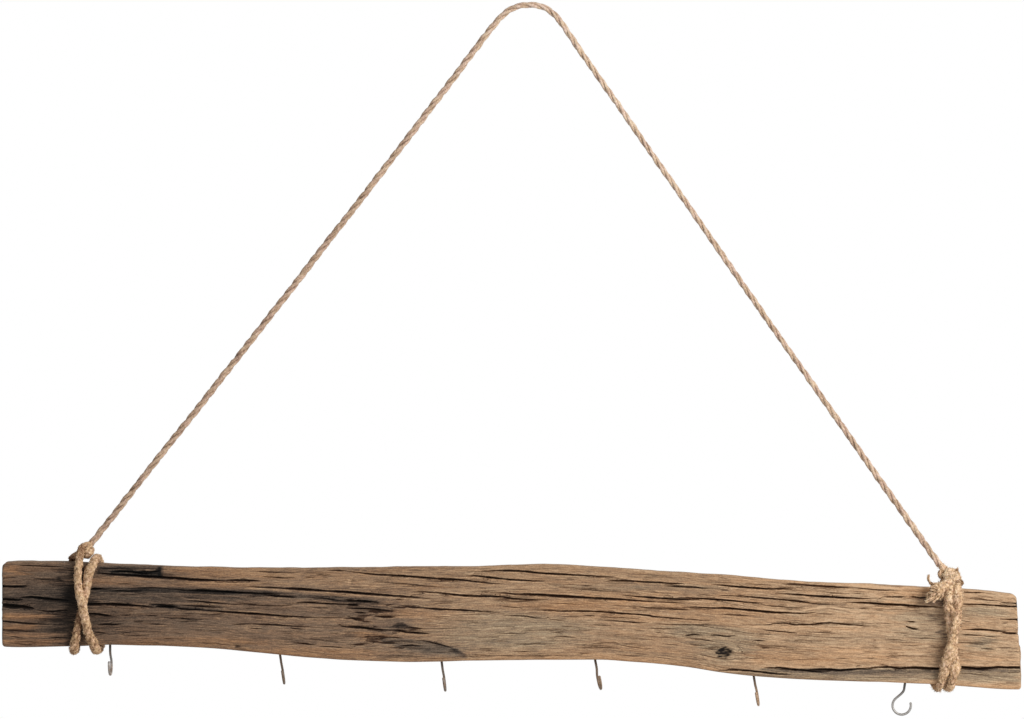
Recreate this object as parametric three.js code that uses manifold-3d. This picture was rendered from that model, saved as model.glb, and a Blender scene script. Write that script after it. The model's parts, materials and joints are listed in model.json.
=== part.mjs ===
// Hanging rope shelf: a weathered beam slung on one jute rope, with six screw hooks under it.
// Millimetres. +Z is up, +X runs along the beam to the right, and the front face looks along -Y.
// The origin lies under the top bend of the rope, where the nail or peg of the wall goes.

import * as THREE from 'three';
import { mergeVertices } from 'three/addons/utils/BufferGeometryUtils.js';
import Module from 'manifold-3d';

const wasm = await Module();
wasm.setup();

// Driving dimensions of the beam
const beamLength = 1000;
const beamHeight = 90;
const beamDepth = 38;
const arrisRadius = 3;
const endRounding = 1.6;
const rightEndSlant = 4.4;
const beamShift = -17;

// Driving dimensions of the rope
const ropeDiameter = 6.5;
const lashingDiameter = 7.6;
const knotDiameter = 5.4;
const knotRise = 24;
const seatGap = 0.4;
const strandGap = 0.6;
const crossingGap = 1.5;
const jointGap = 0.3;

// Driving dimensions of the hooks. The bowl runs between two angles in degrees round its middle.
const wireDiameter = 2.1;
const shankLength = 20;
const screwPoint = 4;
const neckLength = 7;
const neckBend = 4;
const bowlRadius = 9;
const bowlStart = 150;
const bowlEnd = 383;
const hookClearance = 0.3;
const pilotOverrun = 6;

// The centre line of the rope from knot to knot, as x and z in millimetres. It lies in the plane y = 0
// and was laid out for a beam of routeLength.
const routeLength = 1000;
const ropeRoute = [
  [-426.5, -522.1],
  [-353.2, -428.6],
  [-279.6, -335.6],
  [-166.8, -190.4],
  [-76.5, -72.6],
  [-55.4, -43.6],
  [-34.3, -16.8],
  [-26.5, -7.9],
  [-18.6, -1.4],
  [-10.8, 1.9],
  [-1, 3.3],
  [8.8, 2.5],
  [16.7, -0.6],
  [24.5, -7.4],
  [32.4, -16.9],
  [50.5, -42.4],
  [70.1, -70.6],
  [186.9, -238.6],
  [295, -393.3],
  [400.2, -542.7],
];

// The beam's outline from left to right: place along the length, top and bottom edge from the middle line.
const outlineShares = [
  { x: 0, top: 0.45, bottom: -0.46 },
  { x: 0.01, top: 0.463, bottom: -0.472 },
  { x: 0.065, top: 0.46, bottom: -0.456 },
  { x: 0.105, top: 0.44, bottom: -0.441 },
  { x: 0.155, top: 0.414, bottom: -0.448 },
  { x: 0.195, top: 0.404, bottom: -0.468 },
  { x: 0.235, top: 0.395, bottom: -0.506 },
  { x: 0.29, top: 0.394, bottom: -0.563 },
  { x: 0.33, top: 0.395, bottom: -0.602 },
  { x: 0.39, top: 0.404, bottom: -0.627 },
  { x: 0.47, top: 0.409, bottom: -0.617 },
  { x: 0.53, top: 0.431, bottom: -0.604 },
  { x: 0.56, top: 0.424, bottom: -0.602 },
  { x: 0.6, top: 0.396, bottom: -0.612 },
  { x: 0.64, top: 0.364, bottom: -0.641 },
  { x: 0.675, top: 0.34, bottom: -0.69 },
  { x: 0.715, top: 0.314, bottom: -0.757 },
  { x: 0.755, top: 0.276, bottom: -0.801 },
  { x: 0.8, top: 0.233, bottom: -0.824 },
  { x: 0.85, top: 0.221, bottom: -0.84 },
  { x: 0.905, top: 0.184, bottom: -0.866 },
  { x: 0.945, top: 0.16, bottom: -0.893 },
  { x: 0.985, top: 0.121, bottom: -0.924 },
  { x: 1, top: 0.105, bottom: -0.925 },
];

// The drying checks that open the front face, as shares of the beam's length and height.
// A check that runs out goes on through the end of the beam that its last point meets.
const checkWidth = 2.6;
const checkDepth = 7;
const checkShares = [
  { points: [[0.091, 0.37], [0.157, 0.332]], size: 1.2 },
  { points: [[0.138, 0.311], [0.186, 0.289], [0.253, 0.261]], size: 0.9 },
  { points: [[0.068, -0.082], [0.031, -0.027], [-0.002, -0.016]], size: 0.6, runsOut: true },
  { points: [[0.086, 0.016], [0.144, -0.011], [0.253, -0.093]], size: 0.6 },
  { points: [[0.241, 0.197], [0.347, 0.129], [0.421, 0.071]], size: 1.2 },
  { points: [[0.321, 0.378], [0.364, 0.346], [0.445, 0.278], [0.488, 0.234]], size: 0.7 },
  { points: [[0.373, -0.016], [0.488, -0.071]], size: 0.6 },
  { points: [[0.5, 0.125], [0.566, 0.082], [0.644, 0.027]], size: 1 },
  { points: [[0.599, 0.269], [0.664, 0.225], [0.692, 0.18]], size: 0.8 },
  { points: [[0.513, -0.056], [0.644, -0.125], [0.7, -0.169]], size: 0.6 },
  { points: [[0.631, -0.027], [0.724, -0.049], [0.8, -0.1]], size: 1 },
  { points: [[0.765, 0.234], [0.848, 0.18]], size: 0.8 },
  { points: [[0.827, 0.032], [0.88, 0.005], [0.921, -0.016]], size: 0.8 },
  { points: [[0.724, -0.718], [0.848, -0.703], [0.877, -0.679], [1.002, -0.681]], size: 1.5, runsOut: true },
];

// The drying checks that open the back face, laid out in the same way
const backCheckShares = [
  { points: [[0.15, 0.2], [0.07, 0.22], [-0.002, 0.21]], size: 1.1, runsOut: true },
  { points: [[0.06, -0.18], [0.14, -0.2], [0.23, -0.26]], size: 0.9 },
  { points: [[0.2, 0.12], [0.3, 0.07], [0.39, 0.03]], size: 1.2 },
  { points: [[0.3, -0.3], [0.38, -0.33], [0.47, -0.36]], size: 0.8 },
  { points: [[0.36, 0.27], [0.45, 0.24], [0.53, 0.23]], size: 0.8 },
  { points: [[0.45, 0.02], [0.55, -0.02], [0.66, -0.1]], size: 1.3 },
  { points: [[0.53, -0.42], [0.6, -0.44], [0.68, -0.5]], size: 0.7 },
  { points: [[0.6, 0.22], [0.68, 0.15], [0.75, 0.08]], size: 0.9 },
  { points: [[0.7, -0.3], [0.79, -0.36], [0.87, -0.4]], size: 1.1 },
  { points: [[0.8, 0.02], [0.87, -0.03], [0.93, -0.08]], size: 0.8 },
  { points: [[0.84, -0.62], [0.93, -0.64], [1.002, -0.66]], size: 1.2, runsOut: true },
];

// The knot hole low in the front face
const knotHole = { xShare: 0.709, zShare: -0.518, length: 14.6, height: 10.8, depth: 7 };

// The hooks from left to right: place along the beam, lean of the shank in the plane of the front face,
// yaw of the bowl about the shank and how far the middle of the bowl stands below the wood.
const shortStand = 20.5;
const longStand = 23;
const hooks = [
  { name: 'hook_1', xShare: 0.105, lean: 0.5, yaw: -95, stand: shortStand },
  { name: 'hook_2', xShare: 0.272, lean: 8.4, yaw: -90, stand: shortStand },
  { name: 'hook_3', xShare: 0.431, lean: 7.3, yaw: -92, stand: shortStand },
  { name: 'hook_4', xShare: 0.582, lean: 11, yaw: -83, stand: shortStand },
  { name: 'hook_5', xShare: 0.738, lean: 9.4, yaw: -95, stand: shortStand },
  { name: 'hook_6', xShare: 0.887, lean: -8.4, yaw: 0, stand: longStand },
];

// The lashings, which are wound as mirror images. Lanes are places along the beam, measured from the end
// of the hanging rope. The first strand leaves the knot outwards and crosses over the second on the front
// face. The last lane is where the rope climbs back to the knot.
const lashings = {
  left: {
    name: 'rope_left_lashing',
    hand: 1,
    knotTilt: 38,
    first: { top: -14, bottom: 2.4, slant: 2 },
    second: { top: 3.2, bottom: -19, slant: 0.85 },
    lastLane: -23,
    tailInFront: false,
  },
  right: {
    name: 'rope_right_lashing',
    hand: -1,
    knotTilt: -39,
    first: { top: 20, bottom: -0.6, slant: 2.2 },
    second: { top: 8.4, bottom: 14, slant: 0.6 },
    lastLane: 24,
    tailInFront: true,
  },
};

const rad = THREE.MathUtils.degToRad;
const lerp = THREE.MathUtils.lerp;

// Where the outline says the beam's top or bottom edge is, at a place along the beam measured from its middle.
function edgeAt(x, edge) {
  const share = THREE.MathUtils.clamp(x / beamLength + 0.5, 0, 1);
  const next = Math.max(1, outlineShares.findIndex((station) => station.x >= share));
  const [a, b] = [outlineShares[next - 1], outlineShares[next]];
  return beamHeight * lerp(a[edge], b[edge], (share - a.x) / (b.x - a.x));
}

const ropePoints = ropeRoute.map(([x, z]) => new THREE.Vector3((x * beamLength) / routeLength, 0, z));
const [leftExit, rightExit] = [ropePoints.at(0), ropePoints.at(-1)];

// The beam hangs so that its top edge lies one knot below the left end of the rope.
const beamPlace = new THREE.Vector3(beamShift, 0, 0);
beamPlace.z = leftExit.z - knotRise - edgeAt(leftExit.x - beamShift, 'top');

// A closed skin over rings with the same number of points, with a flat fan on both ends.
// The rings run clockwise when seen along the way from the first ring to the last.
function skin(rings) {
  const count = rings[0].length;
  const middle = (ring) => ring.reduce((sum, p) => sum.add(p), new THREE.Vector3()).divideScalar(count);
  const points = [...rings.flat(), middle(rings.at(0)), middle(rings.at(-1))];
  const index = [];
  for (let r = 0; r + 1 < rings.length; r++) {
    for (let i = 0; i < count; i++) {
      const [a, b] = [r * count + i, r * count + (i + 1) % count];
      index.push(a, b, a + count, b, b + count, a + count);
    }
  }
  const lastRing = (rings.length - 1) * count;
  for (let i = 0; i < count; i++) {
    const next = (i + 1) % count;
    index.push(points.length - 2, next, i);
    index.push(points.length - 1, lastRing + i, lastRing + next);
  }
  const geometry = new THREE.BufferGeometry().setFromPoints(points);
  geometry.setIndex(index);
  return geometry;
}

// A round bar along a list of points, with its own radius at each of them. The section doesn't twist.
function roundBar(points, radii, sides) {
  const tangents = points.map((p, i) => {
    const [a, b] = [points[Math.max(i - 1, 0)], points[Math.min(i + 1, points.length - 1)]];
    return b.clone().sub(a).normalize();
  });
  const across = new THREE.Vector3(0, 1, 0);
  if (Math.abs(tangents[0].y) > 0.9) across.set(1, 0, 0);
  const rings = points.map((p, i) => {
    const along = tangents[i];
    if (i > 0) across.applyQuaternion(new THREE.Quaternion().setFromUnitVectors(tangents[i - 1], along));
    across.addScaledVector(along, -across.dot(along)).normalize();
    const third = new THREE.Vector3().crossVectors(along, across);
    return Array.from({ length: sides }, (_, k) => {
      const angle = (2 * Math.PI * k) / sides;
      return p.clone().addScaledVector(across, radii[i] * Math.cos(angle))
        .addScaledVector(third, radii[i] * Math.sin(angle));
    });
  });
  return skin(rings);
}

// Joins and cuts of closed solids
function toSolid(geometry) {
  const bare = geometry.clone();
  bare.deleteAttribute('normal');
  bare.deleteAttribute('uv');
  const merged = mergeVertices(bare);
  return new wasm.Manifold(new wasm.Mesh({
    numProp: 3,
    vertProperties: new Float32Array(merged.attributes.position.array),
    triVerts: new Uint32Array(merged.index.array),
  }));
}

function toGeometry(solid) {
  const mesh = solid.getMesh();
  const geometry = new THREE.BufferGeometry();
  geometry.setAttribute('position', new THREE.BufferAttribute(mesh.vertProperties, 3));
  geometry.setIndex(new THREE.BufferAttribute(mesh.triVerts, 1));
  return geometry;
}

function material(color, roughness, metalness = 0) {
  return new THREE.MeshStandardMaterial({ color, roughness, metalness, flatShading: true });
}

function piece(name, geometry, finish) {
  const mesh = new THREE.Mesh(geometry, finish);
  mesh.name = name;
  return mesh;
}

// One cross-section of the beam, with eased arrises. The right end is sawn a little out of square.
const slantFrom = 0.97;
function beamSection(share, inset) {
  const x = (share - 0.5) * beamLength;
  const top = edgeAt(x, 'top') - inset;
  const bottom = edgeAt(x, 'bottom') + inset;
  const side = beamDepth / 2 - inset;
  const corners = [
    { y: side - arrisRadius, z: top - arrisRadius, from: 0 },
    { y: arrisRadius - side, z: top - arrisRadius, from: 90 },
    { y: arrisRadius - side, z: bottom + arrisRadius, from: 180 },
    { y: side - arrisRadius, z: bottom + arrisRadius, from: 270 },
  ];
  const slant = rightEndSlant * THREE.MathUtils.smoothstep(share, slantFrom, 1);
  return corners.flatMap((corner) => [0, 45, 90].map((turn) => {
    const angle = rad(corner.from + turn);
    const z = corner.z + arrisRadius * Math.sin(angle);
    const y = corner.y + arrisRadius * Math.cos(angle);
    return new THREE.Vector3(x - slant * (z - bottom) / (top - bottom), y, z);
  }));
}

// The timber before anything is cut into it
function timber() {
  const endShare = endRounding / beamLength;
  const inner = outlineShares.map((station) => station.x).filter((x) => x > endShare && x < 1 - endShare);
  return skin([
    beamSection(0, endRounding),
    beamSection(endShare, 0),
    ...inner.map((x) => beamSection(x, 0)),
    beamSection(1 - endShare, 0),
    beamSection(1, endRounding),
  ]);
}

// The wedge that a drying check takes out of the front face (side -1) or the back face (side 1): a fine line
// at its tips, widest in between.
const checkSteps = 7;
const checkTipShare = 0.18;
const checkOverrun = 1;
function checkWedge({ points, size, runsOut }, side) {
  const line = new THREE.CatmullRomCurve3(points.map(([x, z]) => {
    return new THREE.Vector3((x - 0.5) * beamLength, (side * beamDepth) / 2, z * beamHeight);
  }));
  const rings = line.getSpacedPoints(checkSteps).map((p, i) => {
    const along = runsOut ? Math.min(1, (2 * i) / checkSteps) / 2 : i / checkSteps;
    const swell = size * lerp(checkTipShare, 1, Math.sin(Math.PI * along));
    const lip = (checkWidth / 2) * swell;
    return [
      new THREE.Vector3(p.x, p.y + side * checkOverrun, p.z - side * lip),
      new THREE.Vector3(p.x, p.y + side * checkOverrun, p.z + side * lip),
      new THREE.Vector3(p.x, p.y - side * checkDepth * swell, p.z),
    ];
  });
  if (points.at(-1)[0] < points[0][0]) rings.reverse();
  return skin(rings);
}

function knotHollow() {
  const { xShare, zShare, length, height, depth } = knotHole;
  const hollow = new THREE.SphereGeometry(1, 14, 8);
  hollow.scale(length / 2, depth, height / 2);
  hollow.translate((xShare - 0.5) * beamLength, -beamDepth / 2, zShare * beamHeight);
  return hollow;
}

// Where a hook's shank meets the wood, with +Z up along the shank
function hookMatrix({ xShare, lean }) {
  const x = (xShare - 0.5) * beamLength;
  const turn = new THREE.Matrix4().makeRotationY(-rad(lean));
  return turn.setPosition(x, 0, edgeAt(x, 'bottom'));
}

function pilotHole(hook) {
  const radius = wireDiameter / 2 + hookClearance;
  const deep = shankLength + hookClearance;
  const hole = new THREE.CylinderGeometry(radius, radius, deep + pilotOverrun, 12);
  hole.rotateX(Math.PI / 2);
  hole.translate(0, 0, (deep - pilotOverrun) / 2);
  return hole.applyMatrix4(hookMatrix(hook));
}

function beamMesh() {
  let solid = toSolid(timber());
  for (const check of checkShares) solid = solid.subtract(toSolid(checkWedge(check, -1)));
  for (const check of backCheckShares) solid = solid.subtract(toSolid(checkWedge(check, 1)));
  solid = solid.subtract(toSolid(knotHollow()));
  for (const hook of hooks) solid = solid.subtract(toSolid(pilotHole(hook)));
  return piece('beam', toGeometry(solid), material(0x8a7158, 0.9));
}

// A screw hook bent from one wire: gimlet point, shank, neck and a bowl centred under the shank
const bendSteps = 9;
const wireSides = 8;
function hookMesh({ name, stand, yaw }) {
  const path = new THREE.Path();
  const [start, end] = [rad(bowlStart), rad(bowlEnd)];
  const meet = new THREE.Vector2(Math.cos(start), Math.sin(start)).multiplyScalar(bowlRadius);
  meet.y -= stand;
  path.moveTo(0, shankLength - screwPoint);
  path.lineTo(0, -neckLength);
  path.bezierCurveTo(
    0, -neckLength - neckBend,
    meet.x + neckBend * Math.sin(start), meet.y - neckBend * Math.cos(start),
    meet.x, meet.y,
  );
  path.absarc(0, -stand, bowlRadius, start, end, false);
  const bend = path.getPoints(bendSteps).map((p) => new THREE.Vector3(p.x, 0, p.y));
  const radius = wireDiameter / 2;
  const way = bend.at(-1).clone().sub(bend.at(-2)).normalize();
  const tip = bend.at(-1).clone().addScaledVector(way, radius / 2);
  const points = [new THREE.Vector3(0, 0, shankLength), ...bend, tip];
  const radii = points.map(() => radius);
  radii[0] = radius / 4;
  radii[radii.length - 1] = radius / 2;
  const mesh = piece(name, roundBar(points, radii, wireSides), material(0x5a534c, 0.5, 0.85));
  mesh.rotation.z = rad(yaw);
  return mesh;
}

// The hanging rope from knot to knot, with rounded ends that roll on the knots as the beam swings
const ropeSteps = 80;
function ropeSpan() {
  const line = new THREE.CatmullRomCurve3(ropePoints);
  const radius = ropeDiameter / 2;
  const section = new THREE.Shape().absarc(0, 0, radius, 0, 2 * Math.PI);
  const strand = new THREE.ExtrudeGeometry(section, { extrudePath: line, steps: ropeSteps, curveSegments: 5 });
  let solid = toSolid(strand);
  for (const exit of [leftExit, rightExit]) {
    const dome = new THREE.SphereGeometry(radius, 12, 8);
    dome.translate(exit.x, exit.y, exit.z);
    solid = solid.add(toSolid(dome));
  }
  return piece('rope_span', toGeometry(solid), material(0xc39c74, 0.95));
}

// The stops of one turn round the beam, from the top of the front face down, under and up the back.
// Each arris takes four stops. A stop between two arrises lies on a face.
const frontStops = 10;
const arrisStops = 3;
function arris(side, edge, from) {
  return Array.from({ length: arrisStops + 1 }, (_, i) => {
    return { side, edge, angle: rad(from + (90 * i) / arrisStops) };
  });
}

// A point on a turn: on the arris that the stop names, or part of the way to the next stop
function seatPoint(stop, x, radius, lift = 0) {
  const out = arrisRadius + seatGap + radius + lift;
  const edge = edgeAt(x, stop.edge) + (stop.edge === 'top' ? -arrisRadius : arrisRadius);
  const y = stop.side * (beamDepth / 2 - arrisRadius);
  return new THREE.Vector3(x, y + out * Math.cos(stop.angle), edge + out * Math.sin(stop.angle));
}

// How far the first strand stands off the second where it crosses over it
function crossingLift(apart) {
  const need = lashingDiameter + crossingGap;
  return Math.sqrt(Math.max(0, need * need - apart * apart));
}

// One strand down the front face: from lane to lane, lifted where it crosses the other one
function frontRun(lane, otherLane, over) {
  const place = (l, share) => lerp(l.top, l.bottom, Math.pow(share, l.slant));
  const down = { side: -1, angle: Math.PI };
  return Array.from({ length: frontStops + 1 }, (_, i) => {
    const share = i / frontStops;
    const x = place(lane, share);
    const lift = over ? crossingLift(x - place(otherLane, share)) : 0;
    const a = seatPoint({ ...down, edge: 'top' }, x, lashingDiameter / 2, lift);
    const b = seatPoint({ ...down, edge: 'bottom' }, x, lashingDiameter / 2, lift);
    return a.lerp(b, share);
  });
}

// Under the beam and up its back, changing lanes on the way, to the top of the back face
function backRun(from, to, radius) {
  const under = arris(-1, 'bottom', 180);
  const behind = arris(1, 'bottom', 270);
  const above = arris(1, 'top', 0);
  const stops = [...under, ...behind, ...above];
  return stops.map((stop, i) => seatPoint(stop, lerp(from, to, i / (stops.length - 1)), radius));
}

// Over the top towards the front
function topRun(x, radius) {
  return arris(-1, 'top', 90).map((stop) => seatPoint(stop, x, radius));
}

// One lashing: the rope comes down through its own hitches, goes twice round the beam, climbs up behind and
// is hitched round itself. Returns the centre line and the radius at each of its points. The knot stands
// hitchStand times its own hitches above the wood, and footLead says how near the first lane the rope lands.
const hitchTurns = 1.5;
const hitchSteps = 24;
const hitchStand = 0.75;
const hitchPitch = knotDiameter + 1.4 * strandGap;
const footLead = 0.8;
const tailLength = 12;
const frontTailLength = 26;
function lashingLine({ hand, knotTilt, first, second, lastLane, tailInFront }, exit) {
  const tilt = rad(knotTilt);
  const up = new THREE.Vector3(Math.sin(tilt), 0, Math.cos(tilt));
  const out = new THREE.Vector3(-hand * Math.cos(tilt), 0, hand * Math.sin(tilt));
  const back = new THREE.Vector3(0, 1, 0);
  const thin = knotDiameter / 2;
  const full = lashingDiameter / 2;
  const hitchRadius = knotDiameter + strandGap;
  const clear = ropeDiameter / 2 + jointGap;
  const reach = (hitchRadius + thin) * Math.abs(Math.sin(tilt));
  const hitchDrop = (clear + reach) / Math.cos(tilt) + hitchPitch * hitchTurns * hitchStand;
  const low = exit.clone().addScaledVector(up, -hitchDrop);
  const lanes = [first, second].map((lane) => {
    return { ...lane, top: exit.x + lane.top, bottom: exit.x + lane.bottom };
  });

  const line = [];
  const add = (points, radius) => points.forEach((p) => line.push({ p, radius }));
  const start = exit.clone().addScaledVector(up, -clear);
  add([start, start.clone().lerp(low, 0.5), low], thin);
  const footX = lerp(low.x, lanes[0].top, footLead);
  add([seatPoint({ side: 0, edge: 'top', angle: Math.PI / 2 }, footX, thin)], thin);
  add(topRun(lanes[0].top, thin), thin);
  add(frontRun(lanes[0], lanes[1], true), full);
  add(backRun(lanes[0].bottom, lanes[1].top, full), full);
  add(topRun(lanes[1].top, full), full);
  add(frontRun(lanes[1], lanes[0], false), full);
  add(backRun(lanes[1].bottom, exit.x + lastLane, full), full);
  add([low.clone().addScaledVector(out, hitchRadius + thin).addScaledVector(back, hitchRadius)], thin);

  const around = (turn, drop) => low.clone().addScaledVector(up, drop)
    .addScaledVector(back, hitchRadius * Math.cos(turn)).addScaledVector(out, hitchRadius * Math.sin(turn));
  const turns = tailInFront ? hitchTurns - 0.25 : hitchTurns;
  for (let i = 0; i <= hitchSteps; i++) {
    const turn = turns * (i / hitchSteps);
    add([around(Math.PI / 2 + 2 * Math.PI * turn, hitchPitch * turn)], thin);
  }
  const [beforeLast, last] = [line.at(-2).p, line.at(-1).p];
  if (tailInFront) {
    const front = -(beamDepth / 2 + seatGap + lashingDiameter + strandGap + thin);
    const high = new THREE.Vector3(last.x + hand * thin, front, last.z - hitchRadius - hitchPitch);
    const cutEnd = high.clone().setZ(high.z - frontTailLength);
    add([last.clone().addScaledVector(back, -hitchPitch), high, cutEnd], thin);
  } else {
    add([last.clone().add(last.clone().sub(beforeLast).setLength(tailLength))], thin);
  }
  return line;
}

// The least distance between the surfaces of two stretches of one rope that aren't next to each other
const gapStep = 1.5;
function leastGap(line) {
  const samples = [];
  let run = 0;
  for (let i = 0; i + 1 < line.length; i++) {
    const [a, b] = [line[i], line[i + 1]];
    const length = a.p.distanceTo(b.p);
    const steps = Math.max(1, Math.round(length / gapStep));
    for (let k = 0; k < steps; k++) {
      const t = k / steps;
      samples.push({ p: a.p.clone().lerp(b.p, t), radius: lerp(a.radius, b.radius, t), run: run + t * length });
    }
    run += length;
  }
  let least = Infinity;
  for (const a of samples) {
    for (const b of samples) {
      if (b.run - a.run < 2 * lashingDiameter) continue;
      least = Math.min(least, a.p.distanceTo(b.p) - a.radius - b.radius);
    }
  }
  return least;
}

const strandSides = 8;
function lashingMesh(lashing, exit) {
  const line = lashingLine(lashing, exit.clone().sub(beamPlace));
  console.log(`${lashing.name}: least gap to itself ${leastGap(line).toFixed(2)} mm`);
  const bar = roundBar(line.map((s) => s.p), line.map((s) => s.radius), strandSides);
  return piece(lashing.name, bar, material(0xb8946c, 0.95));
}

// The assembly
const shelf = new THREE.Group();
shelf.add(ropeSpan());

const slung = new THREE.Group();
slung.position.copy(beamPlace);
slung.add(beamMesh());
slung.add(lashingMesh(lashings.left, leftExit), lashingMesh(lashings.right, rightExit));
for (const hook of hooks) {
  const seat = new THREE.Group();
  seat.applyMatrix4(hookMatrix(hook));
  seat.add(hookMesh(hook));
  slung.add(seat);
}
shelf.add(slung);

export default shelf;
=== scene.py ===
# Hanging rope shelf: a weathered beam slung on one jute rope, with six screw hooks under it.
# Blender 4.5. Lengths are millimetres in the frame's axes until a mesh is made.

import json
import math

import bpy
import numpy as np
from mathutils import Matrix, Vector


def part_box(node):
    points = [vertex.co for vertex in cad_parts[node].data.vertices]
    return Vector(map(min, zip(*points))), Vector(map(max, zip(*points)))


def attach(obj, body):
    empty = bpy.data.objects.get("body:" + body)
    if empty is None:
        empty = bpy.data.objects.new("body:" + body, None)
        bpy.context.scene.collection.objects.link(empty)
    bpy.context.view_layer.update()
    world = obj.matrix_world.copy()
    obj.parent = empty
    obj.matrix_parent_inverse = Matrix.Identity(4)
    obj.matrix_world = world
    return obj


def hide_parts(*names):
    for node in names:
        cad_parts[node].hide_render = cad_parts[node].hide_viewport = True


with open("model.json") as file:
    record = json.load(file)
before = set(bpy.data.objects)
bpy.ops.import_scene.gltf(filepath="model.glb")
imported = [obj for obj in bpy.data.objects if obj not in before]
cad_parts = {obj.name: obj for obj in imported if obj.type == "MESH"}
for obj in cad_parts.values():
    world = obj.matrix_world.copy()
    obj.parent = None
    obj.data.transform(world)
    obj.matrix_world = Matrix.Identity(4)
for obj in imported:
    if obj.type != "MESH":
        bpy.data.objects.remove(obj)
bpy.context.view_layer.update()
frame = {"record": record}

mm = 0.001

# The photograph: its pixels, the millimetres in one on the front face of the beam, the pixel of the hang
# point, and where that face is along Y
photo = {"width": 1024, "height": 719, "scale": 0.981, "hangX": 529.0, "hangY": 6.8, "face": -19.0}
cameraSet = {"lens": 250.0, "sensor": 36.0, "clipEnd": 100}
cameraAway = cameraSet["lens"] / cameraSet["sensor"] * photo["width"] * photo["scale"]  # from the face


def fromPhoto(px, py, depth=photo["face"]):
    # x and z in the frame of a pixel at a depth along Y
    reach = 1 + (depth - photo["face"]) / cameraAway
    fromCentreX = (px - photo["width"] / 2) * reach
    fromCentreY = (py - photo["height"] / 2) * reach
    return ((photo["width"] / 2 + fromCentreX - photo["hangX"]) * photo["scale"],
            (photo["hangY"] - photo["height"] / 2 - fromCentreY) * photo["scale"])


beamLow, beamHigh = [np.array(corner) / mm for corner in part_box("beam")]
beamLong = beamHigh[0] - beamLow[0]
beamHalf = (beamHigh[1] - beamLow[1]) / 2  # of its depth


def makeCamera():
    data = bpy.data.cameras.new("photoCamera")
    data.lens = cameraSet["lens"]
    data.sensor_width = cameraSet["sensor"]
    data.clip_end = cameraSet["clipEnd"]
    centreX, centreZ = fromPhoto(photo["width"] / 2, photo["height"] / 2)
    camera = bpy.data.objects.new("photoCamera", data)
    camera.location = (centreX * mm, (beamLow[1] - cameraAway) * mm, centreZ * mm)
    camera.rotation_euler = (math.pi / 2, 0, 0)
    bpy.context.scene.collection.objects.link(camera)
    bpy.context.scene.camera = camera
    print(f"camera: {cameraAway:.0f} mm in front of the beam")


lightSet = {
    "key": {"place": (2.6, -2.6, 0.9), "size": 2.0, "watts": 145.0, "color": (1.0, 0.98, 0.95)},
    "fill": {"place": (-2.4, -2.8, -0.2), "size": 2.2, "watts": 10.0, "color": (0.95, 0.97, 1.0)},
    "back": {"place": (0.8, 3.0, 1.4), "size": 2.0, "watts": 24.0, "color": (1.0, 1.0, 1.0)},
    "world": 0.36,
    "floorDrop": 0.38,
    "floorSide": 2.0,
    "floorGrey": 0.9,
    "floorFade": (0.75, 1.7),  # the pale floor is whole inside the first radius and gone outside the second
}


def makeLights():
    target = Vector((beamLow + beamHigh) / 2) * mm
    for name in ("key", "fill", "back"):
        chosen = lightSet[name]
        data = bpy.data.lights.new(name, "AREA")
        data.size = chosen["size"]
        data.energy = chosen["watts"]
        data.color = chosen["color"]
        lamp = bpy.data.objects.new(name, data)
        lamp.location = chosen["place"]
        lamp.rotation_euler = (target - lamp.location).to_track_quat("-Z", "Y").to_euler()
        bpy.context.scene.collection.objects.link(lamp)

    world = bpy.data.worlds.new("studio")
    bpy.context.scene.world = world
    world.use_nodes = True
    tree = world.node_tree
    path = tree.nodes.new("ShaderNodeLightPath")
    seen = calc(tree, "MAXIMUM", path.outputs["Is Camera Ray"], path.outputs["Is Glossy Ray"])
    seen = calc(tree, "MAXIMUM", seen, path.outputs["Is Transmission Ray"])
    strength = add(tree, "ShaderNodeMapRange", {"Value": seen, "To Min": lightSet["world"], "To Max": 1.0})
    background = tree.nodes["Background"]
    background.inputs["Color"].default_value = (1, 1, 1, 1)
    tree.links.new(strength.outputs["Result"], background.inputs["Strength"])
    print("lamps and world set")


def makeFloor():
    drop = (beamLow[2] * mm) - lightSet["floorDrop"]
    side = lightSet["floorSide"]
    corners = [(-side, -side, drop), (side, -side, drop), (side, side, drop), (-side, side, drop)]
    floor = plainMesh("floor", corners, [], [(0, 1, 2, 3)])
    material, tree, shader = newMaterial("paleFloor")
    place = add(tree, "ShaderNodeTexCoord").outputs["Object"]
    level = vec(tree, "MULTIPLY", place, (1.0, 1.0, 0.0))
    fade = fitted(tree, vec(tree, "LENGTH", level), *lightSet["floorFade"], 1.0, 0.0)
    grey = lightSet["floorGrey"]
    put(tree, shader, {"Base Color": (grey, grey, grey, 1), "Roughness": 0.9, "Alpha": fade})
    floor.data.materials.append(material)
    print("floor set")


def put(tree, node, links):
    # what goes into a node's sockets: the output of another node, or a value
    for key, value in links.items():
        if isinstance(value, bpy.types.NodeSocket):
            tree.links.new(value, node.inputs[key])
        else:
            node.inputs[key].default_value = value


def add(tree, kind, links=None, **settings):
    node = tree.nodes.new(kind)
    for name, value in settings.items():
        setattr(node, name, value)
    put(tree, node, links or {})
    return node


def calc(tree, operation, *values):
    return add(tree, "ShaderNodeMath", dict(enumerate(values)), operation=operation).outputs[0]


def vec(tree, operation, *values):
    node = add(tree, "ShaderNodeVectorMath", dict(enumerate(values)), operation=operation)
    return node.outputs["Value" if operation in ("LENGTH", "DOT_PRODUCT") else "Vector"]


def scaled(tree, vector, factor):
    links = {0: vector, "Scale": factor}
    return add(tree, "ShaderNodeVectorMath", links, operation="SCALE").outputs["Vector"]


def swayed(tree, base, layer, share):
    # a value moved up and down by a share of a layer of noise
    return calc(tree, "MULTIPLY_ADD", calc(tree, "SUBTRACT", layer, 0.5), share, base)


def bumpOf(tree, strength, distance, height):
    links = {"Strength": strength, "Distance": distance, "Height": height}
    return add(tree, "ShaderNodeBump", links).outputs["Normal"]


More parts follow.
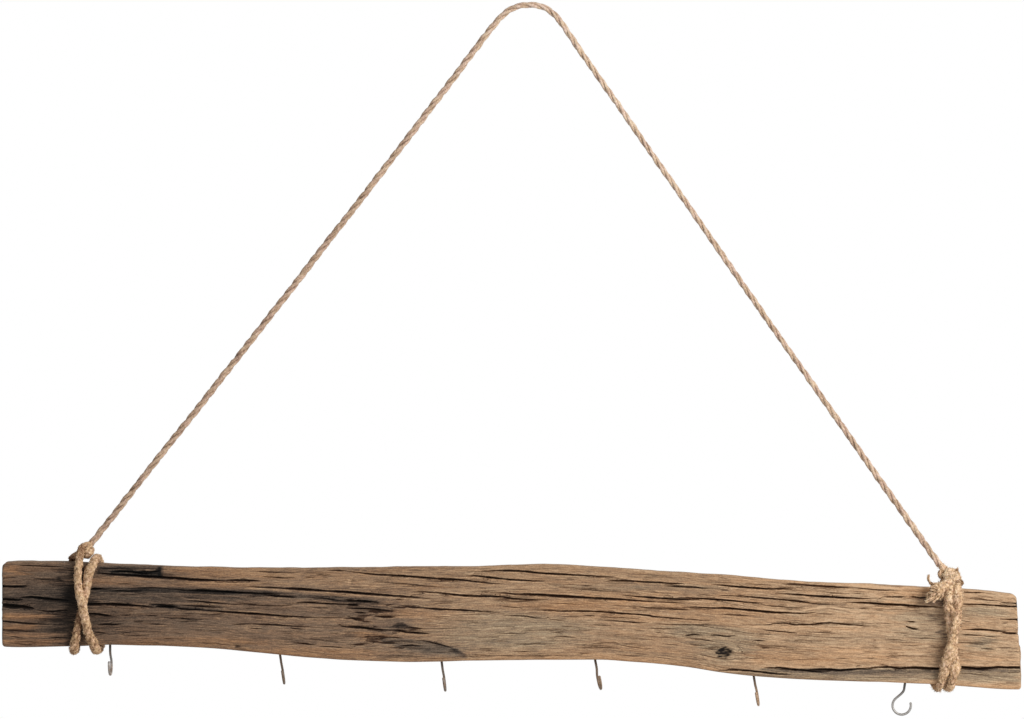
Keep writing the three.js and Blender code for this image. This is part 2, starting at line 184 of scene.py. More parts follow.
def newMaterial(name):
    material = bpy.data.materials.new(name)
    material.use_nodes = True
    tree = material.node_tree
    return material, tree, tree.nodes["Principled BSDF"]


def noiseOf(tree, vector, stretch, detail=2.0, rough=0.55):
    # noise on a vector that is first multiplied by stretch, which is one over the size of a blotch in metres
    moved = vec(tree, "MULTIPLY", vector, stretch)
    links = {"Vector": moved, "Scale": 1.0, "Detail": detail, "Roughness": rough}
    return add(tree, "ShaderNodeTexNoise", links).outputs["Fac"]


def rampOf(tree, value, stops):
    node = add(tree, "ShaderNodeValToRGB", {"Fac": value})
    ramp = node.color_ramp
    while len(ramp.elements) < len(stops):
        ramp.elements.new(0.5)
    for element, (place, color) in zip(ramp.elements, stops):
        element.position = place
        element.color = (*color, 1)
    return node.outputs["Color"]


def mixed(tree, share, first, second, blend="MIX"):
    links = {0: share, 6: first, 7: second}  # sockets 6 and 7 are the ones for colours
    return add(tree, "ShaderNodeMix", links, data_type="RGBA", blend_type=blend).outputs[2]


def fitted(tree, value, low, high, toLow=0.0, toHigh=1.0):
    links = {"Value": value, "From Min": low, "From Max": high, "To Min": toLow, "To Max": toHigh}
    return add(tree, "ShaderNodeMapRange", links).outputs["Result"]


def attributeOf(tree, name, output="Fac"):
    return add(tree, "ShaderNodeAttribute", None, attribute_name=name).outputs[output]


def newTree(name, inputs):
    # a tree with a named input for each value: whole numbers where they are given as such
    tree = bpy.data.node_groups.new(name, "GeometryNodeTree")
    tree.interface.new_socket("Geometry", in_out="INPUT", socket_type="NodeSocketGeometry")
    for label, value in inputs.items():
        kind = "NodeSocketInt" if isinstance(value, int) else "NodeSocketFloat"
        socket = tree.interface.new_socket(label, in_out="INPUT", socket_type=kind)
        socket.default_value = value
    tree.interface.new_socket("Geometry", in_out="OUTPUT", socket_type="NodeSocketGeometry")
    given = tree.nodes.new("NodeGroupInput").outputs
    result = tree.nodes.new("NodeGroupOutput").inputs[0]
    return tree, given, result


def stored(tree, geometry, name, value, kind="FLOAT"):
    links = {"Geometry": geometry, "Name": name, "Value": value}
    return add(tree, "GeometryNodeStoreNamedAttribute", links, data_type=kind, domain="POINT").outputs[0]


def named(tree, name, kind="FLOAT"):
    return add(tree, "GeometryNodeInputNamedAttribute", {"Name": name}, data_type=kind).outputs["Attribute"]


def completed(tree, body, material, dropped, smooth=True):
    # the last steps of a tree: a real mesh, without the attributes that are no longer needed
    body = add(tree, "GeometryNodeRealizeInstances", {"Geometry": body}).outputs[0]
    for label in dropped:
        body = add(tree, "GeometryNodeRemoveAttribute", {"Geometry": body, "Name": label}).outputs[0]
    if smooth:
        body = add(tree, "GeometryNodeSetShadeSmooth", {"Geometry": body}).outputs[0]
    return add(tree, "GeometryNodeSetMaterial", {"Geometry": body, "Material": material}).outputs[0]


def plainMesh(name, vertices, edges, faces):
    mesh = bpy.data.meshes.new(name)
    mesh.from_pydata(vertices, edges, faces)
    made = bpy.data.objects.new(name, mesh)
    bpy.context.scene.collection.objects.link(made)
    return made


def grown(name, source, tree, values):
    # what a tree makes of an object, as a plain mesh
    modifier = source.modifiers.new(tree.name, "NODES")
    modifier.node_group = tree
    for item in tree.interface.items_tree:
        if item.item_type == "SOCKET" and item.in_out == "INPUT" and item.name in values:
            modifier[item.identifier] = values[item.name]
    graph = bpy.context.evaluated_depsgraph_get()
    mesh = bpy.data.meshes.new_from_object(source.evaluated_get(graph), depsgraph=graph)
    source.modifiers.remove(modifier)
    mesh.name = name
    made = bpy.data.objects.new(name, mesh)
    bpy.context.scene.collection.objects.link(made)
    return made


def setValues(mesh, name, values):
    # a number for each point of a mesh
    attribute = mesh.attributes.new(name, "FLOAT", "POINT")
    attribute.data.foreach_set("value", np.asarray(values, dtype=np.float32))


def pathObject(name, points, girth, shadeAndTone=None):
    # a line of edges in metres, with the thickness share and the change of tone at each point, which holds
    # painted shade and light as well as the rope's own tone
    path = plainMesh(name, points * mm, [(i, i + 1) for i in range(len(points) - 1)], [])
    setValues(path.data, "girth", girth)
    setValues(path.data, "shadeAndTone", np.zeros(len(points)) if shadeAndTone is None else shadeAndTone)
    return path


def latticeNoise(u, v, seed):
    # smooth noise between -1 and 1, one blotch to a unit
    size = 128
    lattice = np.random.default_rng(seed).uniform(-1, 1, (size, size))
    iu, iv = np.floor(u).astype(int), np.floor(v).astype(int)
    fu, fv = u - iu, v - iv
    fu, fv = fu * fu * (3 - 2 * fu), fv * fv * (3 - 2 * fv)
    near = lattice[iu % size, iv % size] * (1 - fu) + lattice[(iu + 1) % size, iv % size] * fu
    far = lattice[iu % size, (iv + 1) % size] * (1 - fu) + lattice[(iu + 1) % size, (iv + 1) % size] * fu
    return near * (1 - fv) + far * fv


def evenly(points, values, step):
    # points at even steps along a line, and the values there
    runs = np.concatenate([[0], np.cumsum(np.linalg.norm(np.diff(points, axis=0), axis=1))])
    places = np.linspace(0, runs[-1], max(2, round(runs[-1] / step) + 1))
    line = np.stack([np.interp(places, runs, points[:, axis]) for axis in range(3)], axis=1)
    return line, np.interp(places, runs, values)


def softened(values, reach):
    # gaussian smoothing along a list that keeps both ends in place
    half = max(1, int(3 * reach))
    weights = np.exp(-0.5 * (np.arange(-half, half + 1) / reach) ** 2)
    weights /= weights.sum()
    first, last = values[:1], values[-1:]
    padded = np.concatenate([2 * first - values[half:0:-1], values, 2 * last - values[-2:-half - 2:-1]])
    return np.apply_along_axis(lambda row: np.convolve(row, weights, "valid"), 0, padded)


ropeRoute = [
    (-426.5, -522.1), (-353.2, -428.6), (-279.6, -335.6), (-166.8, -190.4), (-76.5, -72.6), (-55.4, -43.6),
    (-34.3, -16.8), (-26.5, -7.9), (-18.6, -1.4), (-10.8, 1.9), (-1, 3.3), (8.8, 2.5), (17.2, 0.0),
    (25.4, -6.8), (33.0, -16.4), (50.5, -42.4), (70.1, -70.6), (186.9, -238.6), (295, -393.3),
    (400.2, -542.7),
]  # x and z of the centre line, in the plane y = 0

# Thickness, and the painted light that makes the top and the right leg lighter, go by the share of the
# rope's length
ropeSet = {
    "diameter": 6.7,
    "girths": [(0, 1), (0.44, 1), (0.52, 0.93), (0.6, 0.86), (0.82, 0.87), (0.93, 0.95), (1, 1)],
    "paintedLight": [(0, -0.02), (0.25, 0.0), (0.42, 0.11), (0.5, 0.17), (0.56, 0.22), (0.7, 0.12), (0.82, 0.09),
              (1, 0.07)],
    "lay": 39.0,
    "step": 1.8,
    "bend": 2.4,
    "reach": 7.0,
    "wander": 0.35,
    "wanderLength": 55.0,
    "lumps": 0.34,
    "plump": 1.16,
    "roughness": 0.3,
    "sides": 12,
    "seed": 5,
    "hairs": {"density": 70000.0, "length": 4.2, "thickness": 0.013, "lift": 0.4, "spread": 0.4, "seed": 8},
}

# How the rope and its loose fibres look: their colours, how dark the painted shade in the valleys between
# the strands is, how mottled and specked the yarn is, how much the fibres vary, and the tone in the middle
# of it all
juteLooks = {
    "jute": {"colors": "plain", "valleyShade": 0.4, "mottle": 0.7, "specks": 0.2, "tone": 0.68, "sheen": 0.2},
    "fuzzyJute": {"colors": "golden", "valleyShade": 0.45, "mottle": 1.1, "specks": 0.85, "tone": 0.62,
                  "sheen": 0},
    "juteFibre": {"colors": "plain", "varied": 0.4, "tone": 0.68},
    "goldenFibre": {"colors": "golden", "varied": 1.05, "tone": 0.7},
}
ropeColors = {
    "plain": [
        (0.0, (0.045, 0.025, 0.015)),
        (0.25, (0.16, 0.095, 0.058)),
        (0.5, (0.36, 0.238, 0.155)),
        (0.75, (0.58, 0.415, 0.285)),
        (1.0, (0.78, 0.62, 0.46)),
    ],
    "golden": [
        (0.0, (0.05, 0.023, 0.011)),
        (0.25, (0.19, 0.098, 0.050)),
        (0.5, (0.46, 0.292, 0.162)),
        (0.75, (0.70, 0.486, 0.294)),
        (1.0, (0.92, 0.735, 0.500)),
    ],
}

# Noise in the jute, each with its stretch, detail and roughness: fibres and threads follow the yarn, and the
# others lie over the whole rope
juteSet = {
    "fibres": ((1.6, 1.6, 60.0), 3.0, 0.6),
    "threads": ((4.0, 4.0, 200.0), 2.0, 0.5),
    "blotches": ((95.0, 95.0, 95.0), 2.0, 0.5),
    "specks": ((420.0, 420.0, 420.0), 2.0, 0.6),
    "clouds": ((55.0, 55.0, 55.0), 1.0, 0.5),
    "motes": ((300.0, 300.0, 300.0), 2.0, 0.6),
    "hues": ((210.0, 210.0, 210.0), 1.0, 0.5),
    "loose": ((160.0, 160.0, 160.0), 1.0, 0.5),
    "moteColor": (0.15, 0.07, 0.034, 1),
    "rosyTint": (1.0, 0.97, 1.06, 1),
}


def juteMaterial(name):
    look = juteLooks[name]
    material, tree, shader = newMaterial(name)
    yarn = attributeOf(tree, "yarn", "Vector")
    crown = attributeOf(tree, "crown")
    place = add(tree, "ShaderNodeTexCoord").outputs["Object"]
    fibres, threads = [noiseOf(tree, yarn, *juteSet[layer]) for layer in ("fibres", "threads")]
    blotches, specks, clouds, motes, hues = [
        noiseOf(tree, place, *juteSet[layer]) for layer in ("blotches", "specks", "clouds", "motes", "hues")]
    # painted shade in the valleys between the strands, in clouds
    valley = fitted(tree, crown, 0.5, 0.92)
    clouded = fitted(tree, clouds, 0.35, 0.65, 0.15, 1.5)
    deep = calc(tree, "MULTIPLY", calc(tree, "SUBTRACT", 1.0, valley), clouded)
    # the rope's tone, with the painted shade and light that come with its line
    tone = calc(tree, "ADD", attributeOf(tree, "shadeAndTone"), look["tone"])
    tone = calc(tree, "MULTIPLY_ADD", deep, -look["valleyShade"], tone)
    for layer, share in ((fibres, 0.5), (threads, 0.3), (blotches, 0.55), (specks, look["mottle"])):
        tone = swayed(tree, tone, layer, share)
    color = rampOf(tree, tone, ropeColors[look["colors"]])
    mote = calc(tree, "MULTIPLY", fitted(tree, motes, 0.53, 0.68), look["specks"])
    color = mixed(tree, mote, color, juteSet["moteColor"])
    rosy = mixed(tree, 1.0, color, juteSet["rosyTint"], "MULTIPLY")
    color = mixed(tree, fitted(tree, hues, 0.46, 0.6), color, rosy)
    relief = calc(tree, "MULTIPLY_ADD", threads, 0.6, fibres)
    relief = calc(tree, "MULTIPLY_ADD", specks, 0.7, relief)
    put(tree, shader, {"Base Color": color, "Normal": bumpOf(tree, 0.9, 0.0008, relief), "Roughness": 0.88,
                       "Specular IOR Level": 0.2, "Sheen Weight": look["sheen"], "Sheen Roughness": 0.5})
    return material


def hairMaterial(name):
    look = juteLooks[name]
    material, tree, shader = newMaterial(name)
    place = add(tree, "ShaderNodeTexCoord").outputs["Object"]
    blotches = noiseOf(tree, place, *juteSet["loose"])
    tone = swayed(tree, look["tone"], attributeOf(tree, "shade"), look["varied"])
    # the painted shade and light of the rope under each hair carry on into it
    tone = calc(tree, "ADD", swayed(tree, tone, blotches, 0.9), attributeOf(tree, "shadeAndTone"))
    color = rampOf(tree, tone, ropeColors[look["colors"]])
    put(tree, shader, {"Base Color": color, "Roughness": 0.7, "Specular IOR Level": 0.3})
    return material


def laidRopeTree(material):
    # strands twisted round the line of edges that comes in
    tree, given, result = newTree("laidRope", {
        "Diameter": 0.0065,
        "Lay": 0.039,
        "Strands": 3,
        "Sides": 12,
        "Spacing": 0.002,
        "Lumps": 0.1,
        "Plump": 1.1,
        "Roughness": 0.0002,
        "Yarn Twist": 300.0,
        "Seed": 1,
    })
    curve = add(tree, "GeometryNodeMeshToCurve", {"Mesh": given["Geometry"]}).outputs["Curve"]
    curve = add(tree, "GeometryNodeResampleCurve", {"Curve": curve, "Length": given["Spacing"]},
                mode="LENGTH").outputs["Curve"]
    held = add(tree, "GeometryNodeCaptureAttribute", {"Geometry": curve}, domain="POINT")
    for kind, label in (("FLOAT", "along"), ("VECTOR", "normal"), ("VECTOR", "tangent"), ("VECTOR", "core")):
        held.capture_items.new(kind, label)
    tree.links.new(tree.nodes.new("GeometryNodeSplineParameter").outputs["Length"], held.inputs["along"])
    tree.links.new(tree.nodes.new("GeometryNodeInputNormal").outputs["Normal"], held.inputs["normal"])
    tree.links.new(tree.nodes.new("GeometryNodeInputTangent").outputs["Tangent"], held.inputs["tangent"])
    tree.links.new(tree.nodes.new("GeometryNodeInputPosition").outputs["Position"], held.inputs["core"])
    along = held.outputs["along"]
    normal = held.outputs["normal"]

    strands = add(tree, "GeometryNodeDuplicateElements",
                  {"Geometry": held.outputs["Geometry"], "Amount": given["Strands"]}, domain="SPLINE")
    turn = calc(tree, "DIVIDE", strands.outputs["Duplicate Index"], given["Strands"])
    turn = calc(tree, "ADD", calc(tree, "DIVIDE", along, given["Lay"]), turn)
    angle = calc(tree, "MULTIPLY", turn, 2 * math.pi)
    half = calc(tree, "SINE", calc(tree, "DIVIDE", math.pi, given["Strands"]))
    share = calc(tree, "DIVIDE", half, calc(tree, "ADD", half, 1.0))  # a strand's radius, of the rope's
    radius = calc(tree, "MULTIPLY", given["Diameter"], 0.5)
    strandRadius = calc(tree, "MULTIPLY", calc(tree, "MULTIPLY", radius, share), given["Plump"])
    girth = named(tree, "girth")
    out = calc(tree, "MULTIPLY", calc(tree, "SUBTRACT", radius, strandRadius), girth)
    sideways = vec(tree, "CROSS_PRODUCT", held.outputs["tangent"], normal)
    offset = vec(tree, "ADD", scaled(tree, normal, calc(tree, "COSINE", angle)),
                 scaled(tree, sideways, calc(tree, "SINE", angle)))
    moved = add(tree, "GeometryNodeSetPosition",
                {"Geometry": strands.outputs["Geometry"], "Offset": scaled(tree, offset, out)})
    spot = add(tree, "ShaderNodeCombineXYZ", {
        "X": calc(tree, "MULTIPLY", along, 70.0),
        "Y": calc(tree, "MULTIPLY", strands.outputs["Duplicate Index"], 7.3),
        "Z": calc(tree, "MULTIPLY", given["Seed"], 3.1),
    }).outputs["Vector"]
    swell = add(tree, "ShaderNodeTexNoise", {"Vector": spot, "Scale": 1.0, "Detail": 2.0}).outputs["Fac"]
    swell = calc(tree, "MULTIPLY", calc(tree, "SUBTRACT", swell, 0.5), given["Lumps"])
    swell = calc(tree, "MULTIPLY", calc(tree, "MULTIPLY_ADD", swell, 2.0, 1.0), girth)
    line = stored(tree, moved.outputs["Geometry"], "along", along)
    line = stored(tree, line, "core", held.outputs["core"], "FLOAT_VECTOR")
    line = stored(tree, line, "flow", tree.nodes.new("GeometryNodeInputTangent").outputs["Tangent"],
                  "FLOAT_VECTOR")

    ring = add(tree, "GeometryNodeCurvePrimitiveCircle",
               {"Resolution": given["Sides"], "Radius": strandRadius}).outputs["Curve"]
    ring = stored(tree, ring, "around", tree.nodes.new("GeometryNodeSplineParameter").outputs["Factor"])
    body = add(tree, "GeometryNodeCurveToMesh",
               {"Curve": line, "Profile Curve": ring, "Scale": swell, "Fill Caps": True}).outputs["Mesh"]

    place = tree.nodes.new("GeometryNodeInputPosition").outputs["Position"]
    rough = add(tree, "ShaderNodeTexNoise", {"Vector": place, "Scale": 330.0, "Detail": 2.0}).outputs["Fac"]
    rough = calc(tree, "MULTIPLY", calc(tree, "SUBTRACT", rough, 0.45), given["Roughness"])
    outward = tree.nodes.new("GeometryNodeInputNormal").outputs["Normal"]
    body = add(tree, "GeometryNodeSetPosition",
               {"Geometry": body, "Offset": scaled(tree, outward, calc(tree, "MULTIPLY", rough, 4.0))}
               ).outputs["Geometry"]
    away = vec(tree, "LENGTH", vec(tree, "SUBTRACT", place, named(tree, "core", "FLOAT_VECTOR")))
    body = stored(tree, body, "crown", calc(tree, "DIVIDE", away, calc(tree, "MULTIPLY", radius, girth)))
    far = named(tree, "along")
    phase = calc(tree, "MULTIPLY", named(tree, "around"), 2 * math.pi)
    phase = calc(tree, "MULTIPLY_ADD", far, given["Yarn Twist"], phase)
    yarn = add(tree, "ShaderNodeCombineXYZ",
               {"X": calc(tree, "COSINE", phase), "Y": calc(tree, "SINE", phase), "Z": far})
    body = stored(tree, body, "yarn", yarn.outputs["Vector"], "FLOAT_VECTOR")
    tree.links.new(completed(tree, body, material, ("core", "around", "along")), result)
    return tree


def chanceOf(tree, seed, offset, low=0.0, high=1.0):
    # an even random number for each hair
    links = {"Seed": calc(tree, "ADD", seed, offset), 2: low, 3: high}
    return add(tree, "FunctionNodeRandomValue", links, data_type="FLOAT").outputs[1]


def strayFibreTree(material):
    # thin bent hairs that stand off a rope's mesh
    tree, given, result = newTree("strayFibres", {
        "Density": 40000.0,
        "Length": 0.005,
        "Thickness": 0.012,
        "Lift": 0.6,
        "Spread": 0.5,
        "Bend": 0.42,
        "Points": 4,
        "Seed": 1,
    })
    points = add(tree, "GeometryNodeDistributePointsOnFaces",
                 {"Mesh": given["Geometry"], "Density": given["Density"], "Seed": given["Seed"]})
    chance = add(tree, "FunctionNodeRandomValue", {"Seed": given["Seed"], 0: (-1, -1, -1), 1: (1, 1, 1)},
                 data_type="FLOAT_VECTOR")
    along = chanceOf(tree, given["Seed"], 7, -1.0)
    direction = vec(tree, "ADD", scaled(tree, points.outputs["Normal"], given["Lift"]),
                    scaled(tree, named(tree, "flow", "FLOAT_VECTOR"), along))
    direction = vec(tree, "ADD", direction, scaled(tree, chance.outputs[0], given["Spread"]))
    aligned = add(tree, "FunctionNodeAlignRotationToVector", {"Vector": direction}, axis="Z")
    angle = chanceOf(tree, given["Seed"], 13, high=2 * math.pi)
    spin = add(tree, "FunctionNodeAxisAngleToRotation", {"Axis": (0, 0, 1), "Angle": angle})
    turned = add(tree, "FunctionNodeRotateRotation",
                 {"Rotation": aligned.outputs[0], "Rotate By": spin.outputs[0]}, rotation_space="LOCAL")
    length = calc(tree, "MULTIPLY", chanceOf(tree, given["Seed"], 19, 0.3), given["Length"])
    upright = calc(tree, "SUBTRACT", 1.05, given["Bend"])
    tip = add(tree, "ShaderNodeCombineXYZ", {"X": given["Bend"], "Z": upright}).outputs["Vector"]
    bent = add(tree, "GeometryNodeCurveQuadraticBezier",
               {"Resolution": 8, "Start": (0, 0, -0.05), "Middle": (0, 0, 0.55), "End": tip})
    bent = add(tree, "GeometryNodeResampleCurve", {"Curve": bent.outputs[0], "Count": given["Points"]},
               mode="COUNT")
    spots = stored(tree, points.outputs["Points"], "shade", chanceOf(tree, given["Seed"], 29))
    ring = add(tree, "GeometryNodeCurvePrimitiveCircle", {"Resolution": 3, "Radius": given["Thickness"]})
    taper = calc(tree, "MULTIPLY_ADD", tree.nodes.new("GeometryNodeSplineParameter").outputs["Factor"],
                 -0.8, 1.0)
    hair = add(tree, "GeometryNodeCurveToMesh",
               {"Curve": bent.outputs[0], "Profile Curve": ring.outputs[0], "Scale": taper,
                "Fill Caps": True}).outputs["Mesh"]
    hairs = add(tree, "GeometryNodeInstanceOnPoints",
                {"Points": spots, "Instance": hair, "Rotation": turned.outputs[0],
                 "Scale": length}).outputs["Instances"]
    hairs = completed(tree, hairs, material, ("flow", "crown", "yarn", "girth"), smooth=False)
    tree.links.new(hairs, result)
    return tree


def makeRope(name, line, girth, chosen, tree, hairTree, shadeAndTone=None):
    # one laid rope and its stray fibres, as plain meshes
    path = pathObject(name + "Path", line, girth, shadeAndTone)
    rope = grown(name, path, tree, {
        "Diameter": chosen["diameter"] * mm,
        "Lay": chosen["lay"] * mm,
        "Strands": chosen.get("strands", 3),
        "Sides": chosen["sides"],
        "Spacing": chosen["step"] * mm,
        "Lumps": chosen["lumps"],
        "Plump": chosen["plump"],
        "Roughness": chosen["roughness"] * mm,
        "Seed": chosen["seed"],
    })
    bpy.data.objects.remove(path)
    pieces = [rope]
    for kind in ("hairs", "curls"):
        if kind not in chosen:
            continue
        hairs = chosen[kind]
        pieces.append(grown(name + kind.capitalize(), rope, hairTree, {
            "Density": hairs["density"],
            "Length": hairs["length"] * mm,
            "Thickness": hairs["thickness"],
            "Lift": hairs["lift"],
            "Spread": hairs["spread"],
            "Bend": hairs.get("bend", 0.42),
            "Points": hairs.get("points", 4),
            "Seed": hairs["seed"],
        }))
    return pieces


def makeSpan():
    tree = laidRopeTree(juteMaterial("jute"))
    hairTree = strayFibreTree(hairMaterial("juteFibre"))
    points = np.array([(x, 0.0, z) for x, z in ropeRoute])
    for end, before in ((0, 1), (-1, -2)):  # the rope's ends reach into the knots
        way = points[end] - points[before]
        points[end] = points[end] + way / np.linalg.norm(way) * ropeSet["reach"]
    line, _ = evenly(points, np.ones(len(points)), ropeSet["step"])
    line = softened(line, ropeSet["bend"])
    places = np.arange(len(line)) * ropeSet["step"] / ropeSet["wanderLength"]
    fade = np.minimum(1, np.minimum(places, places[::-1]))
    line[:, 0] += ropeSet["wander"] * fade * latticeNoise(places, places * 0, 11)
    line[:, 1] += ropeSet["wander"] * fade * latticeNoise(places, places * 0 + 3.5, 11)
    share = np.linspace(0, 1, len(line))
    # the painted light along the rope goes in as its change of tone
    girth, tone = [np.interp(share, *zip(*ropeSet[name])) for name in ("girths", "paintedLight")]
    rope, fuzz = makeRope("hangingRope", line, girth, ropeSet, tree, hairTree, tone)
    for piece in (rope, fuzz):
        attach(piece, "rope")
    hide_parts("rope_span")


# The beam: its outline as in the CAD, and how finely its faces are cut
beamSet = {
    "outline": [
        (0, 0.45, -0.46), (0.01, 0.463, -0.472), (0.065, 0.46, -0.456), (0.105, 0.44, -0.441),
        (0.155, 0.414, -0.448), (0.195, 0.404, -0.468), (0.235, 0.395, -0.506), (0.29, 0.394, -0.563),
        (0.33, 0.395, -0.602), (0.39, 0.404, -0.627), (0.47, 0.409, -0.617), (0.53, 0.431, -0.604),
        (0.56, 0.424, -0.602), (0.6, 0.396, -0.612), (0.64, 0.364, -0.641), (0.675, 0.34, -0.69),
        (0.715, 0.314, -0.757), (0.755, 0.276, -0.801), (0.8, 0.233, -0.824), (0.85, 0.221, -0.84),
        (0.905, 0.184, -0.866), (0.945, 0.16, -0.893), (0.985, 0.121, -0.924), (1, 0.105, -0.925),
    ],  # share of the length, then the top and bottom edge as shares of the height
    "height": 90.0,
    "highestShare": 0.463,
    "edgeReach": 9.0,
    "arris": 2.6,
    "stations": 430,
    "endStations": [0, 0.25, 0.7, 1.4, 2.4, 3.8, 5.6, 7.4],  # from either end, where they are closer
    "frontRows": 134,
    "topRows": 12,
    "backRows": 36,
    "arrisRows": 4,
    "endRings": 8,
    "corners": {"left": (4.4, 3.2), "right": (4.5, 3.0), "sides": 1.8},  # rounding at top and bottom
    "endSlant": 4.4,  # how far the top of the right end leans back
    "slantReach": 30.0,
    "grainTurn": 1.7,  # how far the grain moves on with each millimetre of depth
    "checkReach": 2.2,  # how far round a check its line is still known to the material
    "checkFade": 0.9,
    "checkClosed": 0.05,  # half the width below which it is shut
    "checkDepth": (2.2, 1.3, 5.5),  # a factor and a power of its width, and the most it may be
    "farGap": 9.0,  # where no check is near
}
farOff = 1000.0  # a distance that is still to be found

# Noise on the beam, in layers: how much, the length and the width of a blotch in millimetres, and a seed
ripples = {
    "topEdge": [(0.3, 23, 1, 51), (0.15, 7, 1, 52)],
    "bottomEdge": [(0.25, 27, 1, 53)],
    "arris": [(0.3, 31, 1, 54)],
    "relief": [(-0.5, 260, 22, 60), (-0.26, 90, 5, 61), (-0.22, 30, 1.9, 62)],  # below zero it stands up
    "checkLine": [(0.16, 15, 1, 31), (0.08, 4, 1, 32)],
    "checkWidth": [(0.2, 13, 1, 33), (0.12, 4.5, 1, 34)],
    "scattered": [(0.2, 9, 1, 35)],
    "stainAlong": [(13, 60, 1.9, 41), (8, 22, 1, 42)],
    "stainUp": [(1.1, 40, 6, 43)],
    "patchEdge": [(0.5, 12, 2, 44)],
    "patchTone": [(0.5, 25, 1.3, 45)],
    "plainTone": [(0.07, 120, 12, 46)],
    "plainWarmth": [(0.4, 150, 14, 47)],
    "knotEdge": [(0.3, 2.6, 2, 71)],
    "knotFloor": [(0.35, 1.7, 1.5, 72)],
    "knotDark": [(2.2, 2, 1.5, 73)],
    "endFace": [(0.5, 3, 3, 81)],
}

